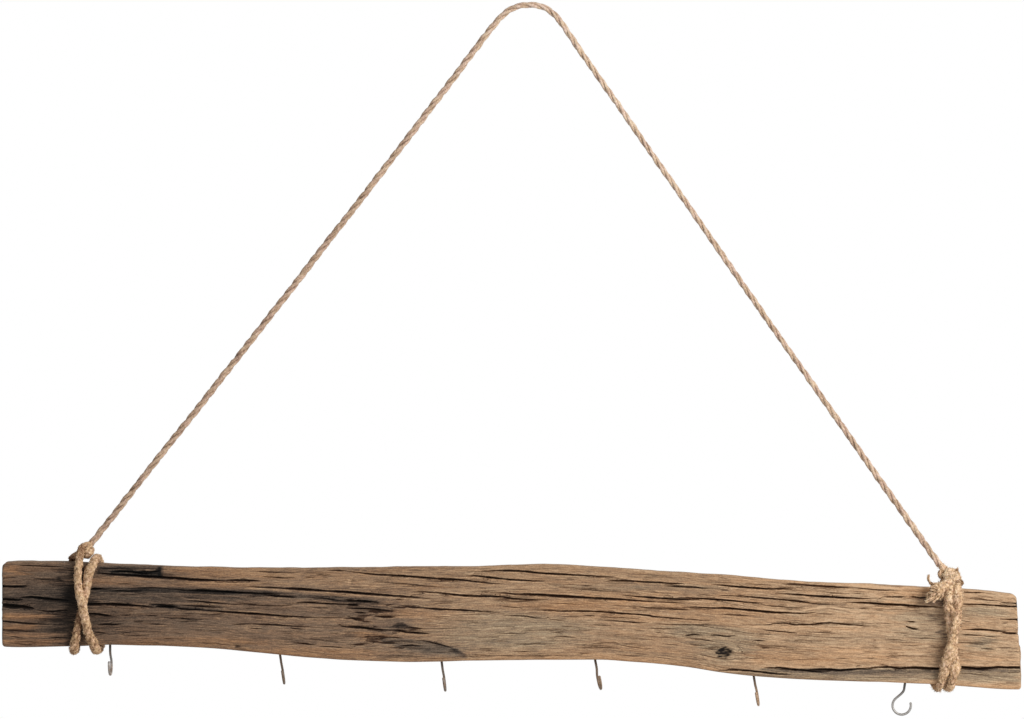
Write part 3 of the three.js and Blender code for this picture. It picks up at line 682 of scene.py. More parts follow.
# Drying checks in the front face: the width in millimetres and the line in photograph pixels. A line that
# starts or stops at an end of the beam runs out of it.
checks = [
    (1.4, [(16, 565.2), (30, 565.7), (45, 566.3), (64, 566.3)]),
    (1, [(55, 579.5), (64, 580.4)]),
    (1.2, [(33, 578.6), (44, 579.2), (56, 579)]),
    (2.7, [(-3, 586), (12, 586.7), (20, 586.4), (28, 585.8)]),
    (2.4, [(-3, 598.8), (12, 599.7), (23, 600.1)]),
    (2.8, [(19, 597.7), (32, 597), (40, 598), (52, 599.3), (70, 600.5)]),
    (4.6, [(-3, 604.8), (14, 606.4), (24, 607), (35, 608.4)]),
    (1.6, [(34, 609.6), (44, 611), (54, 611.6), (60, 610.4), (70, 610)]),
    (1, [(29, 614.2), (41, 613.8)]),
    (1.1, [(41, 614), (54, 614.4), (68, 615)]),
    (1.4, [(-3, 620.8), (12, 622), (24, 623.4), (44, 624), (60, 624.6)]),
    (1.1, [(-3, 629.8), (14, 630.6), (30, 631.6), (47, 631.6)]),
    (1.4, [(49, 637.7), (58, 637.8), (68, 637.2)]),
    (0.9, [(8, 636.4), (24, 638)]),
    (0.9, [(13, 643), (24, 644.6), (36, 645)]),
    (3.1, [(93, 573.3), (105, 573.6), (115, 574.8), (130, 575.4), (145, 576.4), (160, 577.3), (175, 578.1),
           (190, 579.3), (205, 580.1), (231, 580.9)]),
    (1.8, [(222, 580.7), (234, 580.3), (246, 580.3), (262, 581.2)]),
    (2, [(111, 572.5), (120, 571.4), (130, 572), (142, 573.4), (152, 574)]),
    (1.7, [(139, 570.6), (150, 572), (157, 571.4), (161.4, 570.4)]),
    (1, [(100, 568.4), (112, 568.8), (126, 568.6)]),
    (1.8, [(84, 589.2), (100, 588.7), (107, 589.4)]),
    (1.5, [(112, 590.6), (126, 591.2), (142, 591)]),
    (1, [(116, 594.6), (128, 595), (140, 595)]),
    (1.1, [(128, 588), (150, 588), (172, 588.4)]),
    (2.6, [(173, 588.5), (181, 590), (200, 590.5), (220, 591.5), (240, 592.6), (262, 593.4), (280, 594)]),
    (1.6, [(184, 601), (198, 601.1), (206, 602.3), (218, 603.1), (230, 603.9)]),
    (1.2, [(228, 603.7), (244, 603.9), (262, 605)]),
    (3.1, [(76, 603.4), (88, 604.3), (100, 603.9), (115, 604.1), (128, 605.1), (142, 606.1), (155, 607.8)]),
    (1.4, [(148, 604), (160, 604.5), (176, 604.9)]),
    (2.6, [(155, 606.6), (165, 606.5), (177, 607.2)]),
    (1.9, [(174, 607.2), (181, 609), (192, 609.5), (203, 609.4)]),
    (1.4, [(175, 605.1), (190, 605.7), (205, 606.7), (224, 608.2)]),
    (2.1, [(196, 609.8), (215, 611.1), (226, 612.1), (240, 612.6), (255, 613.8), (272, 615.2),
           (290, 616.3), (305, 617.3), (318, 617.7)]),
    (1, [(312, 617.6), (328, 617.8), (346, 617.4)]),
    (2, [(82, 613.4), (98, 614.1), (104, 615.3), (114, 615.7)]),
    (1.1, [(119, 615.2), (131, 615.3)]),
    (1.2, [(145, 615.7), (159, 615.7)]),
    (1.3, [(159, 616.6), (170, 618), (181, 618.1), (190, 619), (206, 619.7)]),
    (1, [(134, 621.2), (144, 622)]),
    (1, [(149, 624), (161, 624.5)]),
    (1.7, [(96, 624.5), (108, 624.1), (114, 624.7), (123, 624)]),
    (1, [(175, 621.6), (188, 621.7), (198, 621)]),
    (1.4, [(93, 632), (100, 632.7), (107, 633.5)]),
    (1, [(119, 632), (131, 632.7)]),
    (1.1, [(211, 614.1), (223, 614)]),
    (1.2, [(229, 624), (246, 624.8)]),
    (1, [(162, 638.4), (173, 638.7)]),
    (2.5, [(244, 586.2), (258, 587), (270, 587.5), (285, 588.4), (300, 589.3), (320, 590.5), (340, 591.7),
           (360, 593.1), (380, 594.9), (400, 596.1), (418, 597.9), (436, 599)]),
    (1.9, [(260, 594.4), (275, 596), (286, 596.7), (297, 597.7)]),
    (1.8, [(292, 603.8), (300, 602.5), (310, 602.5), (318, 603.1), (330, 603.9), (345, 604.5),
           (358, 605.2)]),
    (1.3, [(240, 604), (252, 605), (262, 605.6), (280, 606.1), (295, 604.6)]),
    (1.2, [(308, 598), (325, 598.7), (335, 600), (345, 600.7)]),
    (2.4, [(342, 598.8), (350, 601), (360, 600.9), (379, 602.6)]),
    (2.2, [(345, 604.6), (359, 605.3)]),
    (1.8, [(346, 608), (360, 608.6), (372, 608.9), (380, 610), (394, 610.5)]),
    (1.6, [(353, 612.2), (367, 612.9)]),
    (1.9, [(348, 614.6), (350, 617.6), (355, 619.3), (364, 618.8)]),
    (1.8, [(373, 616.4), (384, 617), (396, 617)]),
    (1.2, [(311, 607.5), (329, 608.1)]),
    (1, [(251, 617.8), (263, 618.5)]),
    (1.4, [(238, 623.6), (255, 624), (275, 625), (300, 627), (312, 626.6)]),
    (1.1, [(249, 628), (263, 629)]),
    (1.1, [(289, 628), (304, 629.7)]),
    (1.4, [(338, 623), (341, 625.6), (345, 626.8)]),
    (2.1, [(340, 626.5), (350, 627), (360, 627.4), (370, 628.6), (383, 630.1), (391, 629.7)]),
    (2.2, [(389, 629.8), (398, 630.3), (404, 632), (414, 632.6), (430, 633.7)]),
    (1.4, [(404, 627.2), (412, 627.6), (426, 629.3)]),
    (1.3, [(292, 643), (305, 643.9), (318, 645.3)]),
    (1.3, [(318, 646), (335, 647), (346, 648)]),
    (1.1, [(315, 574.6), (324, 575.3), (332, 574.6)]),
    (1.3, [(327, 570), (337, 570.5), (346, 570.9)]),
    (2.2, [(344, 570.8), (352, 571.9), (362, 573.1), (380, 574.7), (400, 575.6), (415, 576.9),
           (430, 578.1), (450, 579.3), (462, 580.1), (475, 581.7), (490, 583.3), (506, 584.1)]),
    (1.2, [(249, 571.4), (262, 571.7), (285, 572.7), (294, 572.7), (301, 571.8)]),
    (1.1, [(261, 576.6), (285, 578.1), (297, 577.4)]),
    (1.1, [(303, 577), (315, 577.7)]),
    (1.1, [(371, 582.4), (382, 582), (392, 583), (405, 583.6), (425, 585.8), (440, 587), (457, 587)]),
    (1.1, [(351, 577.8), (353, 579), (354, 580.6)]),
    (2.2, [(464, 575.3), (474, 575.5), (485, 577.1), (495, 578.1), (510, 579.5), (521, 580.1), (534, 581),
           (547, 581)]),
    (2.2, [(482, 570.6), (495, 570.7), (508, 570.7), (520, 571.1), (540, 573.1), (560, 574.2), (575, 575),
           (590, 575.9), (605, 576.5), (617, 576.4)]),
    (2.3, [(412, 591.3), (426, 592.1), (440, 593.1), (452, 594.5), (465, 595.7), (478, 596.3),
           (490, 596.1), (505, 597.1), (512, 598.7), (525, 599.5), (540, 600.1), (550, 599.6)]),
    (2.6, [(488, 592.5), (505, 592.9), (515, 594), (530, 594.5), (545, 595.1), (560, 596.2), (575, 596.9),
           (590, 597.9), (610, 598.9), (630, 600.1), (650, 601.3), (664, 602.1)]),
    (1.2, [(655, 601.8), (668, 602.4), (684, 602.7)]),
    (1.8, [(400, 606.4), (415, 607.3), (430, 608.5), (445, 609.5), (460, 610.1), (475, 611.1),
           (490, 611.7), (502, 612.9)]),
    (1.7, [(518, 609.3), (530, 609.9), (545, 610.3), (560, 611.4), (575, 611.1), (595, 611.3),
           (605, 612.1), (620, 613.3), (640, 614.7), (655, 616.7), (670, 617.9), (685, 619.1),
           (700, 620.3), (718, 620.4)]),
    (1.4, [(502, 615.4), (515, 615.7), (525, 616.3), (535, 617.8), (547, 618.7)]),
    (1.1, [(547, 615.6), (549, 618.6), (550.6, 620.4)]),
    (1, [(549, 619.2), (566, 620.7)]),
    (1, [(498, 605.5), (510, 607), (524, 608.2)]),
    (1.5, [(398, 645.9), (410, 645.2), (422, 645.9)]),
    (1.3, [(412, 641.2), (420, 640.1), (428, 641.5), (440, 644.4), (450, 647.1), (458, 650.1)]),
    (1, [(550, 632), (563, 633.5)]),
    (1.1, [(553, 636), (565, 636.7), (578, 637.7)]),
    (1, [(514, 644.1), (530, 644.1), (542, 642.4)]),
    (0.9, [(512, 651.4), (537, 651.7)]),
    (1, [(470, 655.2), (500, 655.7), (540, 656), (582, 655.6)]),
    (0.9, [(478, 648.5), (497, 648)]),
    (0.9, [(554, 587), (582, 588.5)]),
    (1.3, [(573, 566.6), (578, 566.3), (584, 567)]),
    (2, [(603, 581.4), (615, 580.7), (630, 580.9), (645, 582.1), (658, 582.5), (672, 583.7),
           (686, 583.6)]),
    (2, [(663, 585.9), (680, 586.7), (692, 587.1), (703, 588.3), (709, 588.4)]),
    (2.3, [(711, 584.4), (722, 585.1), (735, 586.5), (750, 587.7), (765, 588.7), (778, 588.9),
           (793, 588.2)]),
    (2.1, [(622, 594.9), (635, 596.3), (645, 597.1), (655, 597.9), (670, 598.9), (690, 599.7), (702, 600)]),
    (2, [(678, 597.3), (690, 597.9), (705, 598.7), (720, 599.6), (735, 600.9), (750, 602.5),
           (763, 603.1)]),
    (1.3, [(628, 606.6), (645, 607.5), (660, 608.1), (675, 609.1), (690, 610), (700, 610)]),
    (2.4, [(682, 607), (695, 606.9), (710, 607.9), (725, 608.2), (745, 609.8), (760, 611.3), (775, 612.5),
           (790, 613.1), (805, 613.3), (818, 612.3)]),
    (1.1, [(582, 615.3), (595, 616)]),
    (1.3, [(597, 619.8), (615, 621.1), (640, 622.7), (650, 622.4)]),
    (1, [(599, 617), (620, 617.7), (641, 618.6)]),
    (1, [(589, 624.6), (613, 625.7)]),
    (1.1, [(654, 624), (690, 625.1), (717, 624.4)]),
    (1, [(647, 628), (665, 629), (679, 628.4)]),
    (1.4, [(683, 635.5), (695, 634.6), (702, 636)]),
    (1.3, [(707, 635.6), (716, 635), (727, 636.5), (737, 635.3)]),
    (1.2, [(689, 638.7), (705, 640), (718, 642.2)]),
    (1, [(591, 643.7), (605, 643), (615, 642.6), (623, 643.8)]),
    (1.2, [(705, 648.7), (717, 649.5)]),
    (1, [(579, 585), (593, 585.6)]),
    (1, [(569, 588), (600, 591), (616, 592)]),
    (1, [(717, 595.4), (741, 595.9)]),
    (2.2, [(780, 583.5), (790, 584), (800, 584.1), (810, 585.5), (825, 586.3), (840, 587.1), (853, 587.2)]),
    (1.3, [(850, 587.4), (862, 588.7), (876, 589.7), (902, 590.7)]),
    (2.3, [(774, 593.5), (790, 594.1), (800, 594.7), (815, 596.1), (830, 597.1), (845, 597.9),
           (860, 598.5), (877, 598.8)]),
    (1, [(877, 600.2), (881, 598), (885, 595.6)]),
    (1.5, [(883, 596.8), (895, 597), (907, 597)]),
    (1.5, [(910, 595.9), (920, 597.7), (929, 597.4)]),
    (1.7, [(726, 595.3), (742, 596.1), (755, 597.5), (770, 598.7), (785, 599.9), (798, 601.5),
           (810, 603.1), (825, 604.5), (837, 604.4)]),
    (1.2, [(762, 605), (780, 606.5), (792, 607.7), (805, 607.2)]),
    (1.2, [(718, 613.6), (735, 615.1), (752, 616.1)]),
    (1, [(816, 613.9), (837, 614.1)]),
    (2.4, [(842, 602.3), (856, 602.5), (870, 603.1), (885, 604.3), (900, 604.9), (910, 605.5),
           (925, 606.7), (944, 607.2)]),
    (1.6, [(753, 624.6), (769, 624.9), (773, 623.2), (785, 623.1), (795, 624.9), (812, 624.7),
           (820, 623.3), (832, 623.1), (845, 624.4), (858, 625.1), (865, 626.1), (882, 626.3)]),
    (1.6, [(762, 629.7), (775, 631.3), (786, 632.1), (797, 633.3)]),
    (1.1, [(758, 633.9), (772, 634.4)]),
    (1.3, [(752, 640.3), (766, 640.9)]),
    (1, [(793, 640.6), (802, 641)]),
    (1.1, [(760, 648), (769, 648.3)]),
    (1.1, [(736.4, 644.4), (741, 649.6), (744, 653.6), (747.4, 657.4)]),
    (1.9, [(716, 670.8), (730, 670), (742, 670.2), (755, 671.3), (765, 672.5), (778, 674), (793, 674.2)]),
    (2.6, [(762, 668), (780, 667.7), (790, 669), (800, 669.9), (812, 671.3), (822, 672), (831, 671.4)]),
    (2.4, [(803, 669.4), (815, 669.3), (830, 669.6), (840, 670.4), (850, 669.5), (860, 668.8),
           (872, 669.6)]),
    (3.2, [(862, 668.4), (880, 667.3), (890, 667.2), (900, 668.6), (915, 667.8), (928, 668.5),
           (944, 668.8), (961, 667.4), (970, 668), (978, 669.2), (986, 668.3), (1000, 667.1),
           (1012, 667.7), (1031, 667.5)]),
    (1, [(873, 610), (885, 610.1)]),
    (1.1, [(857, 608.7), (869, 608.4)]),
    (1.4, [(906, 621.2), (917, 622)]),
    (2.1, [(904, 625.5), (909, 627.4), (914, 629), (919, 629.1)]),
    (1.5, [(961, 592), (975, 592.7), (985, 592.5)]),
    (1.3, [(966, 599), (980, 599.3), (990, 600.5), (1001, 600.9)]),
    (1.5, [(1000, 602.2), (1010, 603), (1031, 603.6)]),
    (1.9, [(961, 604.7), (975, 604.3), (990, 605.1), (1005, 606.1), (1031, 607)]),
    (1.5, [(1001, 619.2), (1012, 619.4), (1031, 619.5)]),
    (1, [(1002, 623), (1011, 623.3)]),
    (2, [(961, 629.4), (975, 629.5), (985, 629.9), (995, 630.9), (1008, 631.2)]),
    (2.4, [(1002, 632.5), (1013, 633.3), (1031, 633.7)]),
    (1.4, [(961, 634.3), (975, 635.2), (984, 635.4)]),
    (1, [(984, 636), (997, 637.1)]),
    (1.2, [(980, 648.6), (996, 649.4)]),
]

# How light the beam is along its length, where 1 is pale: the front by x in photograph pixels, and the other
# faces by the share of the length
weathering = [(0, 0.52), (60, 0.48), (110, 0.535), (240, 0.59), (330, 0.635), (420, 0.71), (470, 0.765),
              (600, 0.78), (700, 0.79), (800, 0.84), (860, 0.87), (1024, 0.885)]
plainTones = [(0, 0.6), (0.4, 0.68), (1, 0.78)]

# Stain marks on the front face, and the painted shade and shadows beside the lashings: middle and
# half-axes in photograph pixels, then how much darker (below zero) or lighter, and how much greyer (below
# zero) or warmer, it is there
stainsAndShadows = [
    ((11, 571), (8, 8), 0.1, 1.0),
    ((34, 569), (32, 3), 0.03, 0.5),
    ((38, 576), (40, 6), -0.03, -0.2),
    ((34, 591), (50, 7), -0.09, -0.4),
    ((36, 603), (60, 8), -0.13, -0.4),
    ((20, 617), (34, 3), 0.15, 1.0),
    ((18, 627.5), (26, 2.6), 0.15, 1.0),
    ((28, 634.5), (34, 2.2), 0.11, 0.9),
    ((28, 641.5), (44, 3.2), 0.12, 0.9),
    ((24, 622.4), (36, 1.4), -0.08, 0.2),
    ((24, 631.2), (36, 1.2), -0.08, 0.2),
    ((30, 638), (36, 1.2), -0.07, 0.2),
    # painted shade left of the left lashing
    ((52, 626), (14, 12), -0.07, -0.1),
    # painted shadow that the left lashing casts to its left
    ((70, 608), (9, 46), -0.26, 0.0),
    ((118, 581), (26, 4), 0.08, 0.5),
    ((210, 584.6), (60, 2.8), 0.07, 0.3),
    ((170, 595), (110, 7), -0.155, -0.4),
    ((150, 618), (80, 9), -0.065, -0.1),
    # painted shade right of the left lashing
    ((104, 626), (22, 12), -0.08, 0.0),
    ((190, 641), (80, 5), 0.05, 0.5),
    ((215, 572), (60, 6), 0.10, 0.4),
    ((300, 577), (70, 7), 0.08, 0.1),
    ((300, 608), (90, 6), -0.06, -0.1),
    ((366, 606), (40, 10), -0.10, -0.1),
    ((350, 634), (80, 12), -0.05, -0.1),
    ((300, 653), (80, 4), 0.05, 0.5),
    ((416, 616), (24, 7), 0.01, 0.35),
    ((364, 634.6), (18, 2.6), 0.05, 0.7),
    ((394, 626), (18, 7), -0.12, -0.4),
    ((436, 651), (26, 5), -0.10, -0.6),
    ((402, 651), (30, 6), -0.06, -0.2),
    ((515, 632), (66, 17), -0.01, -0.9),
    ((560, 606), (60, 5), -0.03, 0.4),
    ((612, 587), (40, 4), -0.05, -0.4),
    ((655, 588), (30, 3.5), -0.06, -0.5),
    ((700, 590), (26, 5), -0.05, -0.4),
    ((690, 631), (26, 7), -0.03, -0.9),
    ((728, 646), (26, 14), -0.03, -1.0),
    ((660, 605), (110, 16), 0.0, 0.3),
    ((660, 652), (90, 7), -0.035, 0.1),
    ((820, 655), (90, 10), -0.01, 0.3),
    ((850, 640), (60, 5), -0.04, -0.4),
    ((912, 590), (26, 4), -0.03, 0.3),
    ((924, 601), (16, 5), -0.14, 0.0),
    ((924, 625), (24, 18), -0.05, -0.6),
    # painted shadow that the right lashing casts to its left
    ((944, 628), (3, 28), -0.3, 0.0),
    ((845, 675), (110, 5.6), -0.15, -1.6),
    ((985, 612), (30, 5), -0.07, -0.8),
    ((982, 642), (12, 6), -0.13, -0.8),
    ((1000, 645), (24, 6), -0.02, -0.2),
    ((990, 676), (36, 6), -0.12, -1.0),
]

# Dark patches with a sharp edge, in photograph pixels: the line above, the line below, and the change of
# tone and of warmth as above
patches = [
    ([(97, 565.4), (130, 565.8), (161.6, 566.4)],
     [(97, 573.2), (130, 575.2), (161.6, 577.2)], -0.2, -0.3),
    ([(110, 570.8), (122, 569.9), (137, 571), (152, 571.4), (157, 568.6), (161.6, 567)],
     [(110, 574.6), (137, 576), (161.6, 577.4)], -0.24, -0.5),
    ([(158.6, 567), (161.8, 566.4)],
     [(158.6, 577), (161.8, 577)], -0.4, 0.0),
    ([(91, 586.8), (112, 587.5), (150, 587.2), (175, 588), (225, 589.6), (268, 590.6), (300, 593.4),
      (345, 597), (380, 600.4)],
     [(91, 590.4), (112, 592.8), (142, 592.8), (175, 592.4), (225, 595.2), (268, 596.6), (300, 599),
      (345, 602.4), (380, 603.4)], -0.17, -0.4),
    ([(150, 603.6), (165, 604.2), (180, 605.2), (222, 609.4)],
     [(150, 607.4), (165, 608.6), (180, 609.8), (222, 612)], -0.14, -0.3),
    ([(391, 626.6), (398, 622.6), (403, 622.2), (407, 625), (414, 627.2)],
     [(391, 627.4), (398, 628.4), (403, 628.6), (407, 628.6), (414, 628.4)], -0.25, 0.2),
    ([(380, 637), (400, 637.8), (416, 640), (440, 644), (458, 650)],
     [(380, 641), (400, 648), (416, 650), (440, 654), (458, 657)], -0.1, -0.6),
    ([(452, 648), (459, 650), (466, 655)],
     [(452, 651), (459, 656.4), (466, 659)], -0.13, -0.4),
    ([(922, 594), (931, 596), (945, 599)],
     [(922, 599), (931, 606), (945, 607)], -0.22, 0.0),
    ([(760, 668), (800, 669), (860, 669), (945, 668.6), (1024, 667.6)],
     [(760, 670), (800, 673), (860, 675), (945, 672.6), (1024, 671.6)], -0.16, -0.9),
]

# Slivers and weathered lines that aren't open, in photograph pixels: light above zero, dark below
slivers = [
    (1, 0.16, [(126, 572.9), (140, 574.6), (158, 575)]),
    (1, 0.12, [(100, 571), (112, 570), (124, 569.6)]),
    (1.4, 0.12, [(180, 582.6), (215, 583.2), (262, 583.4)]),
    (1.2, 0.22, [(246, 588.6), (272, 589.6), (292, 591.4)]),
    (1.1, 0.14, [(300, 591.6), (340, 594), (380, 597), (430, 600.6)]),
    (1, 0.20, [(363, 585.6), (379, 586.4)]),
    (1, 0.18, [(364, 588), (376, 588.4)]),
    (1.1, 0.16, [(352.4, 577), (349, 580.4), (348.6, 584), (350.6, 587.6), (355, 589.6)]),
    (1, 0.14, [(272, 617.6), (300, 619), (345, 619)]),
    (1.2, 0.24, [(465, 573), (469, 574.4), (473, 577.2)]),
    (1.2, 0.22, [(473, 572.6), (469, 574.8), (466, 577.6)]),
    (1.2, 0.12, [(510, 600.2), (530, 601.4), (548, 601.6)]),
    (1.1, 0.12, [(560, 598.6), (600, 601), (640, 603), (670, 604)]),
    (1.1, 0.12, [(690, 600.6), (720, 602.6), (750, 604.6)]),
    (1.2, 0.14, [(726, 606.4), (760, 608.4), (800, 611)]),
    (1.1, 0.14, [(784, 585.8), (820, 588.4), (850, 589.6)]),
    (1.2, 0.18, [(850, 585.4), (880, 588), (925, 589.4)]),
    (1.1, 0.14, [(800, 592.6), (840, 595.4), (880, 596)]),
    (1, 0.12, [(754, 626.6), (790, 627), (830, 625.4), (862, 627.6)]),
    (1.4, 0.16, [(886, 599), (915, 600.6), (930, 602)]),
    (1.6, 0.20, [(961, 594.6), (985, 595), (1016, 597)]),
    (1.3, 0.18, [(961, 601.6), (985, 602), (1000, 604)]),
    (1.2, 0.16, [(961, 607.4), (990, 608), (1018, 609)]),
    (1.2, 0.14, [(961, 632), (985, 632.6), (1000, 633.4)]),
    (1, 0.2, [(911, 625.4), (918, 626.4)]),
    (1.2, 0.12, [(800, 611.4), (815, 608.2), (828, 606.8), (842, 608.4), (854, 611.6)]),
    (0.9, -0.14, [(806, 611), (817, 609.4), (828, 608.4), (841, 610), (850, 612.6)]),
    (0.9, -0.12, [(812, 604.6), (826, 605.4), (846, 604.4)]),
    (1.1, -0.2, [(57.4, 573.6), (57.9, 576), (58.6, 578.6)]),
    (2.2, -0.14, [(333, 600), (352, 602), (372, 606), (392, 612)]),
    (1.6, -0.14, [(348, 632.4), (352, 634), (356, 635)]),
    (1.8, -0.12, [(380, 643), (395, 641), (413, 641.4)]),
    (3.2, -0.17, [(424, 641.2), (440, 645), (450, 647.8), (458, 651), (465, 657)]),
    (1, 0.2, [(127, 572.4), (140, 573.9), (158, 574.6)]),
    (1, -0.2, [(100, 567.9), (130, 568.2), (159, 568.6)]),
    (1, 0.16, [(104, 569.4), (126, 569.6), (150, 570)]),
    (1, 0.2, [(176, 603), (205, 604.4), (230, 606)]),
    (1, 0.2, [(184, 599), (204, 600), (226, 601.6)]),
    (1, 0.16, [(206, 608.8), (236, 610.8), (262, 612.4)]),
    (1, 0.14, [(90, 606.6), (120, 606.8), (148, 608.8)]),
    (1, 0.14, [(176, 611.4), (200, 612.4), (238, 614.6)]),
    (1, 0.14, [(100, 592.4), (140, 593), (180, 593.8), (240, 596)]),
    (1, 0.14, [(272, 606.6), (300, 605.4), (330, 606.4), (346, 607)]),
    (1, -0.12, [(877, 590.6), (884, 593.4), (886, 595.4)]),
    (1.2, -0.2, [(788, 578.9), (796, 579.2), (806, 580.3)]),
    (1.2, -0.2, [(875, 584.4), (885, 584.9)]),
    (1.2, -0.2, [(891, 586.2), (902, 586.9)]),
    (1.2, 0.16, [(978, 679), (988, 680.6), (996, 679.6)]),
    (1.2, 0.18, [(988, 683), (996, 681.4), (1006, 682.6)]),
    (1, 0.16, [(970, 684), (980, 683), (990, 685.6)]),
    (1, 0.14, [(1000, 678), (1010, 679.4), (1018, 678.6)]),
]

# Drying checks in the back face, as in the CAD: shares of the length and the height, and the size of each
backChecks = [
    (1.1, [(-0.01, 0.21), (0.07, 0.22), (0.15, 0.2)]),
    (0.9, [(0.06, -0.18), (0.14, -0.2), (0.23, -0.26)]),
    (1.2, [(0.2, 0.12), (0.3, 0.07), (0.39, 0.03)]),
    (0.8, [(0.3, -0.3), (0.38, -0.33), (0.47, -0.36)]),
    (0.8, [(0.36, 0.27), (0.45, 0.24), (0.53, 0.23)]),
    (1.3, [(0.45, 0.02), (0.55, -0.02), (0.66, -0.1)]),
    (0.7, [(0.53, -0.42), (0.6, -0.44), (0.68, -0.5)]),
    (0.9, [(0.6, 0.22), (0.68, 0.15), (0.75, 0.08)]),
    (1.1, [(0.7, -0.3), (0.79, -0.36), (0.87, -0.4)]),
    (0.8, [(0.8, 0.02), (0.87, -0.03), (0.93, -0.08)]),
    (1.2, [(0.84, -0.62), (0.93, -0.64), (1.01, -0.66)]),
]
backCheckWidth = 2.8

# In the front face: at a pixel of the photograph, and the rest in millimetres
knot = {"at": (724, 652), "size": (7.0, 5.2), "deep": 3.4, "bend": 3.4, "bendTurn": 4, "bendReach": (15, 16)}
hump = {"at": (828, 610), "bend": 2.4, "reach": (15, 8)}  # the grain arches over it
nailHoles = [((237.5, 646.5), 1.5, 2.0)]  # the place, the radius and the depth
fineChecks = {"count": 420, "seed": 21, "length": (7, 46), "wide": (0.4, 0.9), "deep": 0.5, "lean": 0.03}
roughChecks = {"count": 34, "seed": 27, "length": (5, 22), "wide": (0.8, 1.7), "deep": 0.8, "lean": 0.06,
               "between": (0.34, 0.405), "across": (0.14, 0.66)}  # round the dark stain
plainChecks = {"count": 430, "seed": 33, "length": (16, 150), "wide": (0.5, 1.15), "deep": 1, "lean": 0.012}
notch = {"at": 631.0, "tall": 2.4, "deep": 3.2, "reach": 7.0}  # chipped out of the right end


def rippled(values, name, u, v):
    # values with the layers of noise of a name added
    for amount, length, width, seed in ripples[name]:
        values = values + amount * latticeNoise(u / length, v / width, seed)
    return values


def edgeLines():
    # the top and bottom edge as fine lists along the length, softened where the outline has corners
    middle = beamHigh[2] - beamSet["highestShare"] * beamSet["height"]
    places = np.linspace(0, beamLong, 1001)
    shares = np.array(beamSet["outline"])
    top = middle + beamSet["height"] * np.interp(places / beamLong, shares[:, 0], shares[:, 1])
    bottom = middle + beamSet["height"] * np.interp(places / beamLong, shares[:, 0], shares[:, 2])
    top, bottom = [softened(edge[:, None], beamSet["edgeReach"])[:, 0] for edge in (top, bottom)]
    return places + beamLow[0], top, bottom, middle


edgePlaces, topEdge, bottomEdge, beamMiddle = edgeLines()


def topAt(x):
    return np.interp(x, edgePlaces, topEdge)


def bottomAt(x):
    return np.interp(x, edgePlaces, bottomEdge)


def ringTemplate():
    # once round the section: which face a row is on, and how far along that face it lies
    rows = []
    for face, count in (("front", beamSet["frontRows"]), ("frontTop", beamSet["arrisRows"]),
                        ("top", beamSet["topRows"]), ("backTop", beamSet["arrisRows"]),
                        ("back", beamSet["backRows"]), ("backBottom", beamSet["arrisRows"]),
                        ("bottom", beamSet["topRows"]), ("frontBottom", beamSet["arrisRows"])):
        rows += [(face, i / count) for i in range(count)]
    return rows


def stationPlaces():
    # places along the beam from its left end, close together at both ends
    *ends, last = beamSet["endStations"]
    between = np.linspace(last, beamLong - last, beamSet["stations"])
    return np.concatenate([ends, between, beamLong - np.array(ends)[::-1]])


def cornerInset(distance, radius):
    # how far a rounded corner draws in, at a distance from the end
    near = np.clip(radius - distance, 0, radius)
    return radius - np.sqrt(np.maximum(radius ** 2 - near ** 2, 0))


def openCheck(wood, first, last, line, half, deep, near):
    # one check between two stations: the signed distance to its line, half its width, and the wood it takes
    part = slice(first, last)
    reach, shut = beamSet["checkReach"], beamSet["checkClosed"]
    gap = wood["z"][part] - line
    score = np.abs(gap) - half
    nearest = near[part] & (half > shut) & (score < wood["score"][part]) & (score < reach)
    fade = np.clip((reach - score) / beamSet["checkFade"], 0, 1)
    for key, value in (("gap", gap), ("score", score), ("open", half * fade)):
        wood[key][part] = np.where(nearest, value, wood[key][part])
    dip = deep * np.clip(1.3 * (1 - np.abs(gap) / np.maximum(half, shut)), 0, 1)
    wood["drop"][part] = np.where(nearest, np.maximum(wood["drop"][part], dip), wood["drop"][part])


def openDrawn(wood, drawn, near):
    factor, power, deepest = beamSet["checkDepth"]
    x = wood["x"][:, 0]
    for index, (wide, points) in enumerate(drawn):
        points = np.array(points)
        low, high = points[0, 0], points[-1, 0]
        first, last = np.searchsorted(x, [low, high])
        if last - first < 2:
            continue
        xs = x[first:last, None]
        own = xs * 0 + index * 2.7  # where in the noise this check is
        line = rippled(np.interp(xs, points[:, 0], points[:, 1]), "checkLine", xs, own)
        share = (xs - low) / (high - low)
        taper = np.clip(np.sin(np.pi * share), 0, 1) ** 0.5
        if low <= beamLow[0]:
            taper = np.where(share < 0.5, 1.0, taper)
        if high >= beamHigh[0]:
            taper = np.where(share > 0.5, 1.0, taper)
        half = wide * 0.5 * taper * rippled(0.88, "checkWidth", xs, own)
        deep = np.minimum(deepest, factor * wide ** power) * taper
        openCheck(wood, first, last, line, half, deep, near)


def openScattered(wood, chosen, near):
    # short checks that follow the grain, spread at random over a face
    chance = np.random.default_rng(chosen["seed"])
    x = wood["x"][:, 0]
    for _ in range(chosen["count"]):
        middle = beamLow[0] + beamLong * chance.uniform(*chosen.get("between", (0, 1)))
        across = chance.uniform(*chosen.get("across", (0.03, 0.97)))
        half = chance.uniform(*chosen["length"]) / 2
        wide = chance.uniform(*chosen["wide"])
        lean = chance.normal(0, chosen["lean"])
        first, last = np.searchsorted(x, [middle - half, middle + half])
        if last - first < 2:
            continue
        xs = x[first:last, None]
        along = (xs - middle) / half
        grainAt = beamSet["height"] * across + lean * (xs - middle)
        grainAt = rippled(grainAt, "scattered", xs, xs * 0 + middle)
        taper = np.cos(np.pi / 2 * np.clip(along, -1, 1)) ** 0.6
        line = wood["z"][first:last] - wood["grainZ"][first:last] + grainAt  # it bends with the grain
        openCheck(wood, first, last, line, 0.5 * wide * taper, chosen["deep"] * taper, near)


